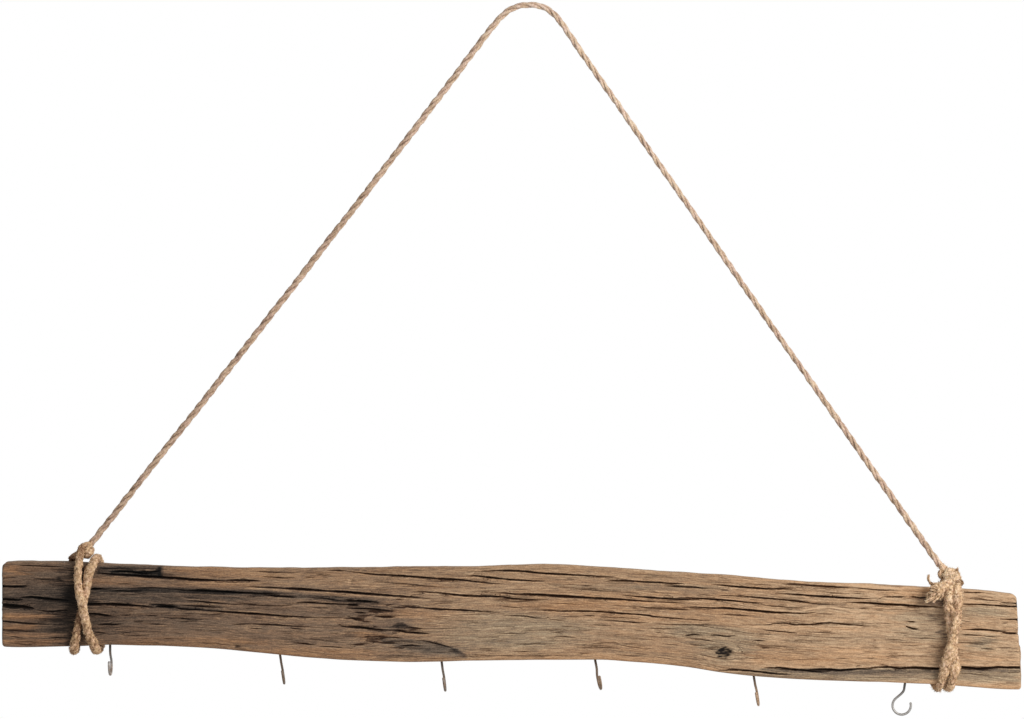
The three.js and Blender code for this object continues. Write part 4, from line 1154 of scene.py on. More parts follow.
def weather(x, z):
    # tone and warmth of the front from the stain marks with the painted shade and shadows beside the
    # lashings, the patches and the slivers, with edges that run along the grain
    pull = rippled(0, "stainAlong", x, z)
    lift = rippled(0, "stainUp", x, z)
    along = np.array([fromPhoto(px, 0)[0] for px, _ in weathering])
    tone = np.interp(x + pull, along, np.array([level for _, level in weathering]))
    warmth = np.zeros_like(x)
    for spot, size, toneChange, warmthChange in stainsAndShadows:
        cx, cz = fromPhoto(*spot)
        far = np.hypot((x + pull - cx) / size[0], (z + lift - cz) / size[1])
        cover = 1 / (1 + np.exp(np.clip((far - 1) * 6, -30, 30)))
        tone += toneChange * cover
        warmth += warmthChange * cover
    ragged = rippled(0, "patchEdge", x, z)
    for topLine, bottomLine, toneChange, warmthChange in patches:
        above, below = [np.array([fromPhoto(*p) for p in line]) for line in (topLine, bottomLine)]
        underTop = np.interp(x, above[:, 0], above[:, 1]) - z
        overBottom = z - np.interp(x, below[:, 0], below[:, 1])
        sides = np.minimum(x - above[0, 0], above[-1, 0] - x)
        inside = np.minimum(np.minimum(underTop, overBottom) + ragged, sides / 2.0)
        cover = np.clip((inside + 0.3) / 0.9, 0, 1)
        tone += toneChange * cover * rippled(1, "patchTone", x, z)
        warmth += warmthChange * cover
    for wide, change, line in slivers:
        points = np.array([fromPhoto(*p) for p in line])
        reach = np.full_like(x, farOff)
        for a, b in zip(points, points[1:]):
            step = b - a
            t = np.clip(((x - a[0]) * step[0] + (z - a[1]) * step[1]) / (step @ step), 0, 1)
            reach = np.minimum(reach, np.hypot(x - a[0] - t * step[0], z - a[1] - t * step[1]))
        tone += change * np.clip(1.4 - reach / (wide / 2), 0, 1)
    return tone, np.clip(warmth, -1, 1)


def beamSection(places, faces, shares):
    # the points of the rings round the beam before it is weathered, which way they face, and both edges
    around = len(faces)
    fromLeft, fromRight = places, beamLong - places
    x = beamLow[0] + np.repeat(places[:, None], around, axis=1)
    still = places * 0
    top = rippled(topAt(x[:, 0]), "topEdge", places, still)
    bottom = rippled(bottomAt(x[:, 0]), "bottomEdge", places, still)
    corners = beamSet["corners"]
    top = top - cornerInset(fromLeft, corners["left"][0]) - cornerInset(fromRight, corners["right"][0])
    bottom = bottom + cornerInset(fromLeft, corners["left"][1]) + cornerInset(fromRight, corners["right"][1])
    side = beamHalf - cornerInset(fromLeft, corners["sides"]) - cornerInset(fromRight, corners["sides"])
    arris = beamSet["arris"] * rippled(1, "arris", places, still)
    top, bottom, side, arris = [np.repeat(a[:, None], around, axis=1) for a in (top, bottom, side, arris)]
    y, z, outY, outZ = [np.zeros((len(places), around)) for _ in range(4)]

    def flat(face, y0, z0, y1, z1, ny, nz):
        pick = faces == face
        y[:, pick] = (y0 + (y1 - y0) * shares)[:, pick]
        z[:, pick] = (z0 + (z1 - z0) * shares)[:, pick]
        outY[:, pick] = ny
        outZ[:, pick] = nz

    def rounded(face, cy, cz, start):
        pick = faces == face
        angle = np.radians(start - 90 * shares[pick])
        y[:, pick] = cy[:, pick] + arris[:, pick] * np.cos(angle)
        z[:, pick] = cz[:, pick] + arris[:, pick] * np.sin(angle)
        outY[:, pick] = np.cos(angle)
        outZ[:, pick] = np.sin(angle)

    inner = side - arris
    flat("front", -side, bottom + arris, -side, top - arris, -1, 0)
    rounded("frontTop", -inner, top - arris, 180)
    flat("top", -inner, top, inner, top, 0, 1)
    rounded("backTop", inner, top - arris, 90)
    flat("back", side, top - arris, side, bottom + arris, 1, 0)
    rounded("backBottom", inner, bottom + arris, 0)
    flat("bottom", inner, bottom, -inner, bottom, 0, -1)
    rounded("frontBottom", -inner, bottom + arris, -90)
    return {"x": x, "y": y, "z": z, "outY": outY, "outZ": outZ, "top": top, "bottom": bottom}


def grainHeights(section):
    # how high each point is in the grain, which bends round the knot and over the hump
    x, z, bottom = section["x"], section["z"], section["bottom"]
    inFront = section["y"] < 0
    grainZ = (z - bottom) / (section["top"] - bottom) * beamSet["height"]
    knotX, knotZ = fromPhoto(*knot["at"])
    bulge = np.exp(-(((x - knotX) / knot["bendReach"][0]) ** 2) - np.abs(z - knotZ) / knot["bendReach"][1])
    grainZ = grainZ - knot["bend"] * np.tanh((z - knotZ) / knot["bendTurn"]) * bulge * inFront
    humpX, humpZ = fromPhoto(*hump["at"])
    arch = np.exp(-(((x - humpX) / hump["reach"][0]) ** 2) - ((z - humpZ) / hump["reach"][1]) ** 2)
    return grainZ - hump["bend"] * arch * inFront


def openChecks(wood, faces):
    # every check in the front and the back face, and where the front is
    everywhere = np.ones((len(wood["x"]), 1), dtype=bool)
    front = everywhere & np.isin(faces, ["front", "frontTop", "frontBottom"])[None, :]
    back = everywhere & np.isin(faces, ["back", "backTop", "backBottom"])[None, :]
    openDrawn(wood, [(wide, [fromPhoto(*p) for p in line]) for wide, line in checks], front)
    openDrawn(wood, [(size * backCheckWidth, [(beamLow[0] + beamLong * u, beamMiddle + beamSet["height"] * v)
                                              for u, v in line]) for size, line in backChecks], back)
    openScattered(wood, fineChecks, front)
    openScattered(wood, roughChecks, front)
    openScattered(wood, plainChecks, back)
    return front


def openHoles(wood, front):
    # the knot hole and the nail holes sink into the front; how dark each point gets by them: painted shade
    # inside the holes, and the knot's own dark wood in the ring round it
    x, z = wood["x"], wood["z"]
    knotX, knotZ = fromPhoto(*knot["at"])
    far = np.hypot((x - knotX) / knot["size"][0], (z - knotZ) / knot["size"][1])
    far = rippled(far, "knotEdge", x, z) + 0.14 * np.clip((z - knotZ - 1) / 3, -1, 1)
    within = np.clip(1.15 - far, 0, 1)
    wood["drop"] += knot["deep"] * np.clip(within * front * 2.2, 0, 1) * rippled(0.75, "knotFloor", x, z)
    rim = np.clip(1 - np.abs(far - 0.8) / 0.3, 0, 1)
    dark = np.clip(rim * 0.9 + within * rippled(1.4, "knotDark", x, z), 0, 1) * front
    for spot, radius, deep in nailHoles:
        holeX, holeZ = fromPhoto(*spot)
        hole = np.clip(1.5 - np.hypot(x - holeX, z - holeZ) / radius, 0, 1) * front
        wood["drop"] += deep * hole
        dark = np.maximum(dark, hole)
    return dark


def weatheredLooks(section, lane, facing):
    # tone and warmth: the front as photographed, and the other faces evenly weathered
    x, z = section["x"], section["z"]
    frontTone, frontWarmth = weather(x, z)
    places = [beamLow[0] + share * beamLong for share, _ in plainTones]
    plainTone = rippled(np.interp(x, places, [tone for _, tone in plainTones]), "plainTone", x, lane)
    lowBand = np.exp(-(((z - section["bottom"]) / 4.0) ** 2))
    # painted highlight: the top face and its arris are made lighter, as if lit from above
    topHighlight = np.exp(-(((z - section["top"]) / 1.2) ** 2))
    tone = frontTone * facing + plainTone * (1 - facing) + 0.07 * topHighlight + 0.03 * lowBand
    warmth = frontWarmth * facing + 0.5 * lowBand + rippled(0, "plainWarmth", x, lane) * (1 - facing)
    return tone, np.clip(warmth, -1, 1)


def nearRightEnd(places, reach):
    # for each ring: 0 until the right end is within reach, and 1 at the end
    return np.clip((places - (beamLong - reach)) / reach, 0, 1)[:, None]


def closeEnds(points, grain, values, count, around):
    # rings that draw in to the middle of both sawn ends: the lists grown by them, and the faces
    base = np.arange(around)
    follow = (base + 1) % around
    ends = []
    for station, leftEnd in ((0, True), (count - 1, False)):
        ring = points[station * around:(station + 1) * around]
        middle = ring.mean(axis=0)
        outer = station * around + base
        edges = {name: value[station * around:(station + 1) * around] for name, value in values.items()}
        for step in range(1, beamSet["endRings"] + 1):
            shrink = 1 - step / (beamSet["endRings"] + 1)
            within = middle + (ring - middle) * shrink
            rough = rippled(0, "endFace", within[:, 1], within[:, 2])
            within[:, 0] = ring[:, 0] + (rough if leftEnd else -rough)
            first = len(points)
            points = np.concatenate([points, within])
            grain = np.concatenate([grain, within])
            for name in values:
                even = 0.0 if name in ("open", "dark") else edges[name].mean()
                kept = shrink ** (6 if name in ("open", "dark") else 4)
                values[name] = np.concatenate([values[name], edges[name] * kept + even * (1 - kept)])
            for k in range(around):
                quad = (outer[k], outer[follow[k]], first + follow[k], first + k)
                ends.append(quad[::-1] if leftEnd else quad)
            outer = first + base
        points = np.concatenate([points, [middle]])
        grain = np.concatenate([grain, [middle]])
        for name in values:
            values[name] = np.append(values[name], values[name][-around:].mean())
        hub = len(points) - 1
        for k in range(around):
            corner = (outer[k], outer[follow[k]], hub)
            ends.append(corner[::-1] if leftEnd else corner)
    return points, grain, ends


def makeBeam():
    rows = ringTemplate()
    faces = np.array([face for face, _ in rows])
    places = stationPlaces()
    section = beamSection(places, faces, np.array([share for _, share in rows]))
    x, y, z, bottom = [section[name] for name in ("x", "y", "z", "bottom")]
    count, around = x.shape
    grainZ = grainHeights(section)
    lane = grainZ + beamSet["grainTurn"] * y

    # relief of the weathered grain on every face, then the checks and the holes
    drop = rippled(np.zeros((count, around)), "relief", x, lane)
    wood = {"x": x, "z": z, "grainZ": grainZ, "drop": drop, "score": np.full((count, around), farOff),
            "gap": np.full((count, around), beamSet["farGap"]), "open": np.zeros((count, around))}
    front = openChecks(wood, faces)
    dark = openHoles(wood, front)
    facing = np.clip(-y / beamHalf, 0, 1) ** 0.7
    tone, warmth = weatheredLooks(section, lane, facing)

    # the surface sinks by the drop, and the right end slants and is notched
    slant = nearRightEnd(places, beamSet["slantReach"])
    slant = slant * slant * (3 - 2 * slant)
    chip = nearRightEnd(places, notch["reach"]) ** 2
    chip = chip * np.exp(-(((z - fromPhoto(0, notch["at"])[1]) / notch["tall"]) ** 2)) * facing
    xNew = x - beamSet["endSlant"] * slant * (z - bottom) / (section["top"] - bottom) - notch["deep"] * chip
    yNew = y - section["outY"] * wood["drop"]
    zNew = z - section["outZ"] * wood["drop"]
    points = np.stack([xNew, yNew, zNew], axis=2).reshape(-1, 3)
    grain = np.stack([x, y, grainZ], axis=2).reshape(-1, 3)
    values = {"dark": dark, "tone": tone, "warmth": warmth, "gap": wood["gap"], "open": wood["open"]}
    values = {name: value.reshape(-1) for name, value in values.items()}

    base = np.arange(around)
    follow = (base + 1) % around
    quads = [np.stack([i * around + base, i * around + follow, (i + 1) * around + follow,
                       (i + 1) * around + base], axis=1) for i in range(count - 1)]
    quads = [tuple(quad) for quad in np.concatenate(quads)]
    points, grain, ends = closeEnds(points, grain, values, count, around)

    beam = plainMesh("weatheredBeam", points * mm, [], quads + ends)
    mesh = beam.data
    mesh.materials.append(woodMaterial(False))
    mesh.materials.append(woodMaterial(True))
    slots = np.zeros(len(mesh.polygons), dtype=np.int32)
    slots[len(quads):] = 1
    mesh.polygons.foreach_set("material_index", slots)
    mesh.polygons.foreach_set("use_smooth", np.ones(len(mesh.polygons), dtype=bool))
    for name, value in values.items():
        setValues(mesh, name, value)
    mesh.attributes.new("grain", "FLOAT_VECTOR", "POINT").data.foreach_set(
        "vector", (grain * mm).astype(np.float32).ravel())
    mesh.update()
    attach(beam, "beam")
    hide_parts("beam")
    print(f"beam: {len(mesh.polygons)} faces")


# Noise in the wood: blotches to a metre, along the grain and across it, then the detail and the roughness
woodSet = {
    "broad": ((7.0, 110.0, 140.0), 3.0, 0.6),
    "streaks": ((22.0, 420.0, 480.0), 3.0, 0.62),
    "fibres": ((60.0, 800.0, 900.0), 2.0, 0.6),
    "threads": ((160.0, 1300.0, 1500.0), 1.0, 0.5),
    "grit": ((620.0, 1100.0, 1100.0), 1.0, 0.5),
    "shares": (0.10, 0.09, 0.15, 0.16, 0.15),  # how much each of the first five tells
    "frays": ((240.0, 900.0, 1000.0), 2.0, 0.6),
    "hairlines": ((19.0, 300.0, 330.0), 3.0, 0.6),
    "hairlineAreas": ((30.0, 260.0, 300.0), 1.0),
    # the light lines beside the dark hairlines are a painted highlight
    "hairlineAt": (0.5, 0.565),  # where in their noise the dark ones are, and the light ones beside them
    "hairlineSharp": 26.0,
    "hairlineDepth": 0.42,
    "hairlineHighlight": 0.10,
    "pith": (0.0, 0.045, -0.70),  # the middle of the rings on a sawn end, in metres
    "rings": 1400.0,  # radians to a metre
    "ringWobble": ((20.0, 60.0, 60.0), 2.0),
    "sawnStreaks": ((40.0, 500.0, 500.0), 3.0),
    "sawnFibres": ((200.0, 1800.0, 1800.0), 2.0),
    "sawnThreads": ((300.0, 2400.0, 900.0), 1.0),
    "drift": ((11.0, 120.0, 150.0), 2.0),
    "fineDrift": ((60.0, 420.0, 500.0), 2.0),
    "colors": [
        (0.0, (0.0040, 0.0028, 0.0020)),
        (0.2, (0.0210, 0.0137, 0.0097)),
        (0.4, (0.0800, 0.0525, 0.0368)),
        (0.6, (0.1880, 0.1200, 0.0785)),
        (0.8, (0.3500, 0.2200, 0.1285)),
        (1.0, (0.5700, 0.3830, 0.2360)),
    ],
    "greyTint": (0.92, 1.06, 1.16, 1),
    "warmTint": (1.09, 0.93, 0.78, 1),
    # the colour that the painted shade in the checks, and the dark hairlines, are multiplied by
    "shadeAndHairlineTint": (0.2, 0.14, 0.1, 1),
    "knotAndHoleShade": (0.007, 0.005, 0.004, 1),
}


def woodMaterial(sawnEnd):
    material, tree, shader = newMaterial("sawnEndWood" if sawnEnd else "weatheredWood")
    grain = attributeOf(tree, "grain", "Vector")
    tone = attributeOf(tree, "tone")
    warmth = attributeOf(tree, "warmth")

    def layersOf(*names):
        return [noiseOf(tree, grain, *woodSet[layer]) for layer in names]

    if sawnEnd:
        centred = vec(tree, "SUBTRACT", grain, woodSet["pith"])
        flat = vec(tree, "MULTIPLY", centred, (0.0, 1.0, 1.0))
        radius = calc(tree, "MULTIPLY", vec(tree, "LENGTH", flat), woodSet["rings"])
        wobble, streaks, fibres, threads = layersOf("ringWobble", "sawnStreaks", "sawnFibres", "sawnThreads")
        bands = calc(tree, "SINE", calc(tree, "MULTIPLY_ADD", wobble, 6.0, radius))
        broad = fitted(tree, bands, -1.0, 1.0)
    else:
        broad, streaks, fibres, threads = layersOf("broad", "streaks", "fibres", "threads")
    grit, frays, hair, hairAreas = layersOf("grit", "frays", "hairlines", "hairlineAreas")

    # the signed distance to the nearest check, roughened: painted shade inside the check, a painted
    # shadow round it and a painted highlight on its lips
    gap = calc(tree, "ABSOLUTE", attributeOf(tree, "gap"))
    opened = attributeOf(tree, "open")
    depth = calc(tree, "SUBTRACT", swayed(tree, opened, frays, 0.9), gap)
    checkShadeMask = calc(tree, "MULTIPLY", fitted(tree, depth, -0.06, 0.14), fitted(tree, opened, 0.0, 0.6, 0.25))
    shadow = fitted(tree, depth, -1.1, 0.1)
    shadow = calc(tree, "MULTIPLY", calc(tree, "MULTIPLY", shadow, shadow), fitted(tree, opened, 0.3, 1.0))
    lipHighlight = calc(tree, "MULTIPLY", fitted(tree, depth, -1.7, -0.8), fitted(tree, depth, -0.25, -0.6))
    lipHighlight = calc(tree, "MULTIPLY", lipHighlight, fitted(tree, opened, 0.15, 0.7))

    level = tone
    layers = (broad, streaks, fibres, threads, grit)
    for layer, share in zip(layers, woodSet["shares"]):
        crisp = fitted(tree, layer, 0.3, 0.7)
        level = swayed(tree, level, crisp, share)
    # painted shadow round each check, and painted highlight on its lips
    level = calc(tree, "MULTIPLY_ADD", shadow, -0.16, level)
    level = calc(tree, "MULTIPLY_ADD", lipHighlight, 0.10, level)
    hairMask = fitted(tree, hairAreas, 0.42, 0.6)
    lines = []
    for middle in woodSet["hairlineAt"]:
        line = calc(tree, "ABSOLUTE", calc(tree, "SUBTRACT", hair, middle))
        line = calc(tree, "MINIMUM", calc(tree, "MULTIPLY", line, woodSet["hairlineSharp"]), 1.0)
        lines.append(calc(tree, "MULTIPLY", calc(tree, "SUBTRACT", 1.0, line), hairMask))
    hairline, ridge = lines
    # painted highlight along one side of each hairline
    level = calc(tree, "MULTIPLY_ADD", ridge, woodSet["hairlineHighlight"], level)
    color = rampOf(tree, level, woodSet["colors"])
    drift, fine = layersOf("drift", "fineDrift")
    hue = swayed(tree, swayed(tree, warmth, drift, 1.2), fine, 1.5)
    grey = fitted(tree, hue, 0.0, -1.0)
    warm = fitted(tree, hue, 0.0, 1.0)
    color = mixed(tree, grey, color, mixed(tree, 1.0, color, woodSet["greyTint"], "MULTIPLY"))
    color = mixed(tree, warm, color, mixed(tree, 1.0, color, woodSet["warmTint"], "MULTIPLY"))
    shade = mixed(tree, 1.0, color, woodSet["shadeAndHairlineTint"], "MULTIPLY")
    color = mixed(tree, calc(tree, "MULTIPLY", hairline, woodSet["hairlineDepth"]), color, shade)
    # painted shade inside each check
    color = mixed(tree, checkShadeMask, color, shade)
    # painted shade in the knot hole and the nail holes, and the dark ring of the knot
    color = mixed(tree, attributeOf(tree, "dark"), color, woodSet["knotAndHoleShade"])
    relief = calc(tree, "MULTIPLY_ADD", fibres, 0.5, streaks)
    relief = calc(tree, "MULTIPLY_ADD", threads, 0.35, relief)
    relief = calc(tree, "MULTIPLY_ADD", hairline, -0.6, relief)
    relief = calc(tree, "MULTIPLY_ADD", checkShadeMask, -1.2, relief)
    put(tree, shader, {"Base Color": color, "Normal": bumpOf(tree, 0.7, 0.0007, relief), "Roughness": 0.9,
                       "Specular IOR Level": 0.2})
    return material


lashingSet = {
    "diameter": 8.6,
    "lay": 27.0,
    "step": 1.4,
    "smooth": 2.2,  # in steps, as the next one
    "smoothGirth": 3,
    "sides": 14,
    "sink": 0.5,
    "arrisRadius": 3.0,
    "wander": 0.4,
    "wanderLength": 12.0,
}

# Each lashing from the end of the hanging rope to its tail, in photograph pixels. A loose point is x, y,
# depth in millimetres and thickness. A front point is x, y, thickness and how far it is lifted off the
# strand under it. Under and over give x where the rope goes below and above the beam, from edge to edge.
# A shade is x, y, depth, how far it reaches along X, Y and Z in millimetres, and how much darker (below
# zero) or lighter. Many are painted shade where the rope lies behind, under or beside other rope; the
# others only change its tone.
lashings = {
    "left": {
        "node": "rope_left_lashing",
        "legs": [
            ("loose", [(93.6, 540.2, 0, 3.6), (91.6, 542.8, 0, 5.4), (88, 545.8, -2, 7.6),
                       (83.6, 546.8, -6, 8.6), (80.6, 550, -11, 8.8), (79.6, 555.2, -16, 8.4),
                       (78.8, 562, -21, 8)]),
            ("front", [(78.4, 568, 7.9, 0), (77.8, 574, 7.6, 0), (77.8, 580, 7.6, 0.5),
                       (78.2, 587, 7.9, 2.5), (79.4, 594, 8.3, 4.8), (81.2, 601, 8.7, 6.8),
                       (83, 608, 8.9, 7.4), (84.3, 616, 8.9, 6.4), (86, 624, 9, 4),
                       (88.2, 632, 9.3, 1.6), (90.8, 638.5, 9.6, 0.3)]),
            ("under", 94.0, 98.2, 9.8),
            ("over", 97.8, 93.0, 9.0),
            ("front", [(91, 566.4, 9.6, 0), (89.2, 571, 9.4, 0), (88.1, 577, 9.1, 0),
                       (87.1, 583, 8.6, 0), (86.4, 589, 8, 0), (85.3, 595, 7.6, 0), (83.8, 602, 7.2, 0),
                       (81.9, 609, 7, 0), (79.8, 617, 7, 0), (78.2, 625, 7.4, 0), (76.8, 633, 8, 0),
                       (75.8, 639.5, 8.8, 0)]),
            ("under", 74.4, 72.4, 9.2),
            ("back", 70.4, 7.4),
            ("loose", [(70.2, 559.4, 13, 6.2), (73.2, 557.2, 10, 6.2), (77.4, 554.4, 7, 6.6),
                       (82.4, 550.8, 5, 7.4), (86.6, 547.4, 2, 9), (89.2, 548.2, -5, 10.6),
                       (89.4, 552, -11, 11.2), (88.2, 555, -12.5, 10.4), (85.8, 555.4, -9, 8.8),
                       (84, 553.4, -5, 7.4)]),
        ],
        # the first six are painted shade: on the back strand, on strands behind and under others, where it
        # passes under the beam, on the knot's left lobe and on the left side of B; the last three only
        # change the tone
        "shades": [
            (70.5, 558.6, 12, (7, 10, 6), -0.34),
            (75, 640, -27, (6, 14, 22), -0.16),
            (79.5, 616, -22, (4, 5, 14), -0.3),
            (101.5, 645, -5, (4, 16, 9), -0.28),
            (79.6, 551, -12, (6, 9, 7), -0.2),
            (84, 562, -22, (4, 8, 8), -0.1),
            (89, 576, -27, (4, 8, 11), -0.09),
            (90, 638, -28, (6, 10, 11), -0.1),
            (83, 604, -30, (7, 12, 14), 0.07),
        ],
        "tone": -0.01,
        "plump": 1.42,
        "lumps": 0.3,
        "roughness": 0.6,
        "seed": 3,
        "hairs": {"density": 330000.0, "length": 2.6, "thickness": 0.036, "lift": 0.5, "spread": 0.7,
                  "points": 3, "seed": 4},
        "curls": {"density": 150000.0, "length": 2.6, "thickness": 0.13, "lift": 0.2, "spread": 0.4,
                  "bend": 0.5, "seed": 5},
    },
    "right": {
        "node": "rope_right_lashing",
        "legs": [
            ("loose", [(937.6, 561.2, 0, 3.4), (939.8, 564, 0, 5), (943.4, 568.6, -1, 8),
                       (947.8, 572.2, -5, 10), (952.6, 576.6, -12, 10.6), (955.6, 583, -20, 10.8)]),
            ("front", [(956.9, 590, 10.8, 0.5), (957.2, 598, 10.6, 1), (957.4, 606, 10.2, 1.8),
                       (957.2, 614, 9.6, 3.8), (956.3, 622, 9.2, 5.4), (954.9, 630, 9.2, 6.6),
                       (953.2, 638, 9.2, 7.3), (951.5, 646, 9.6, 7.4), (949.5, 653, 10.2, 6.6),
                       (947.2, 660, 10.6, 5), (945, 667, 10.8, 2.8), (943.6, 675, 10.6, 0.2)]),
            ("under", 941.4, 935.0, 6.8),
            ("over", 945.4, 949.4, 10.4),
            ("front", [(949.4, 592, 11, 0), (949.2, 600, 10.8, 0), (949.4, 608, 10.2, 0),
                       (950, 616, 9.6, 0), (950.6, 624, 9.2, 0), (951.2, 632, 9.2, 0),
                       (951.9, 640, 9.2, 0), (952.6, 648, 9.6, 0), (953.4, 656, 10.2, 0),
                       (953.8, 664, 10.6, 0), (953.8, 673, 10.8, 0)]),
            ("under", 951.6, 946.4, 6.8),
            ("back", 956.6, 8.6),
            ("loose", [(957.2, 583, 12, 8.4), (956.4, 577.4, 6, 9), (953.6, 573.4, -2, 10),
                       (949.6, 572.6, -9, 10.4), (946.6, 575.4, -13, 10.4), (946.4, 579.4, -12, 9.8),
                       (949.8, 580.4, -6, 9), (953.8, 578, -2, 9), (955.4, 575.2, -8, 9.6),
                       (953.4, 577.8, -15, 10.2), (949.4, 582.2, -19, 10.4), (944.8, 585.8, -23, 10.2),
                       (940.6, 588.4, -26, 10.6), (936.6, 591, -28, 11), (932.8, 594.4, -29, 10),
                       (930, 598, -29, 7.6), (928.2, 600.6, -29, 4.4)]),
        ],
        # the fifth is the painted shadow of the cut end on the strand under it, and the last painted shade
        # on the loop end tucked behind; the others only change the tone
        "shades": [
            (956, 573, -6, (4, 9, 4), -0.16),
            (957.6, 568, -5, (3, 9, 3), -0.16),
            (946, 576, -10, (8, 14, 7), 0.24),
            (951, 595, -26, (12, 20, 14), 0.04),
            (957, 608, -26, (5, 14, 8), -0.2),
            (953, 626, -26, (12, 20, 12), -0.08),
            (950, 676, -26, (16, 20, 14), -0.17),
            (931.5, 688, 0, (5, 40, 7), -0.45),
        ],
        "tone": 0.1,
        "plump": 1.4,
        "lumps": 0.6,
        "roughness": 0.9,
        "seed": 9,
        "hairs": {"density": 330000.0, "length": 4.2, "thickness": 0.034, "lift": 1.0, "spread": 0.9,
                  "points": 3, "seed": 14},
        "curls": {"density": 150000.0, "length": 3.4, "thickness": 0.13, "lift": 0.4, "spread": 0.9,
                  "bend": 0.65, "seed": 15},
    },
}

# Loose ends at the right knot, in photograph pixels with the depth and thickness in millimetres
looseEnds = {
    "horn": [(933.8, 586, -24, 3.4), (931, 583.6, -25, 3.3), (928.4, 581, -25.5, 3.1),
            (927.6, 577.8, -25.5, 2.7), (928.9, 574.8, -25.5, 1.9)],
    "nub": [(944.6, 576.6, -6, 6.6), (941, 575.6, -8, 7.4), (940, 572.8, -7, 7.2),
            (942.4, 571.2, -4, 6.4)],
    "eye": [(957.6, 581.4, -26, 2), (960.2, 579.4, -27, 2.2), (962.8, 581.2, -25, 2.2),
            (963, 584.2, -23, 2.2), (960.8, 586.2, -25, 2.2), (958.2, 585, -26.5, 2)],
    "cutEnd": [(954, 612.4, -29, 6.6), (951.6, 610.6, -34, 7.6), (949, 608.8, -36, 8.6),
            (946.8, 607.4, -37, 8.4), (945.2, 606.4, -37, 6.4)],
    "wisp1": [(938, 587.4, -30, 5), (933.4, 586.4, -31, 4), (929.4, 588, -31, 2.2)],
    "wisp2": [(936.6, 591, -33, 5), (931.6, 591.6, -34, 4.2), (927, 594.4, -34, 2)],
    "wisp3": [(935, 593.4, -33, 5), (931.2, 597.6, -34, 4.2), (926.2, 602.2, -33, 1.8)],
    "wisp4": [(939, 593.4, -32, 5), (937, 598, -33, 4), (933.4, 602.2, -32, 2)],
    "wisp5": [(940.6, 592, -31, 5), (942, 596.2, -31, 4), (940, 599.8, -30, 2)],
    "wisp6": [(940.4, 586.6, -29, 4.6), (936.6, 583.8, -29, 3.8), (932.6, 583.4, -29, 1.8)],
    "wisp7": [(938, 590, -36, 4.6), (934, 588.8, -38, 3.8), (930.6, 590.6, -37, 2)],
    "topTuft": [(954.6, 573, -8, 6), (956.6, 570.8, -7, 5), (957.6, 569.2, -5, 3.6)],
}
looseTones = {"horn": 0.1, "nub": 0.0, "eye": -0.1, "cutEnd": -0.1, "topTuft": -0.08}
looseSet = {
    "wispTone": 0.16,
    "diameter": 3.0,
    "lay": 14.0,
    "step": 0.6,
    "smooth": 3,
    "sides": 8,
    "strands": 2,
    "plump": 1.2,
    "roughness": 0.45,
    "lumps": 0.4,
    "seed": 6,
    "hairs": {"density": 600000.0, "length": 3.2, "thickness": 0.034, "lift": 0.8, "spread": 0.9,
              "seed": 24},
    "curls": {"density": 250000.0, "length": 2.4, "thickness": 0.13, "lift": 0.4, "spread": 0.9,
              "bend": 0.65, "seed": 25},
}


def seatPoint(side, atTop, degrees, px, thickness):
    # a point that stands off the wood: on the arris between two faces, at an angle round it
    x = fromPhoto(px, 0)[0]
    arris = lashingSet["arrisRadius"]
    edge = topAt(x) - arris if atTop else bottomAt(x) + arris
    out = arris + thickness / 2 - lashingSet["sink"]
    angle = math.radians(degrees)
    return x, side * (beamHalf - arris) + out * math.cos(angle), edge + out * math.sin(angle)


def lashingLine(legs):
    # the centre line in millimetres and the thickness at each point
    points, thick = [], []
    quarter = [0, 30, 60, 90]  # degrees round one arris
    turns = {
        "under": [(-1, False, 180 + a) for a in quarter] + [(1, False, 270 + a) for a in quarter],
        "over": [(1, True, a) for a in quarter] + [(-1, True, 90 + a) for a in quarter],
        "back": [(1, True, a) for a in quarter],
    }

    def addPoint(point, thickness):
        points.append(point)
        thick.append(thickness)

    for kind, *leg in legs:
        if kind == "loose":
            for px, py, depth, thickness in leg[0]:
                x, z = fromPhoto(px, py, depth)
                addPoint((x, depth, z), thickness)
        elif kind == "front":
            for px, py, thickness, lift in leg[0]:
                depth = beamLow[1] - thickness / 2 + lashingSet["sink"] - lift
                x, z = fromPhoto(px, py, depth)
                addPoint((x, depth, z), thickness)
        else:
            first, last, thickness = leg if len(leg) == 3 else (leg[0], leg[0], leg[1])
            for i, (side, atTop, degrees) in enumerate(turns[kind]):
                px = first + (last - first) * i / (len(turns[kind]) - 1)
                addPoint(seatPoint(side, atTop, degrees, px, thickness), thickness)
    return np.array(points), np.array(thick)


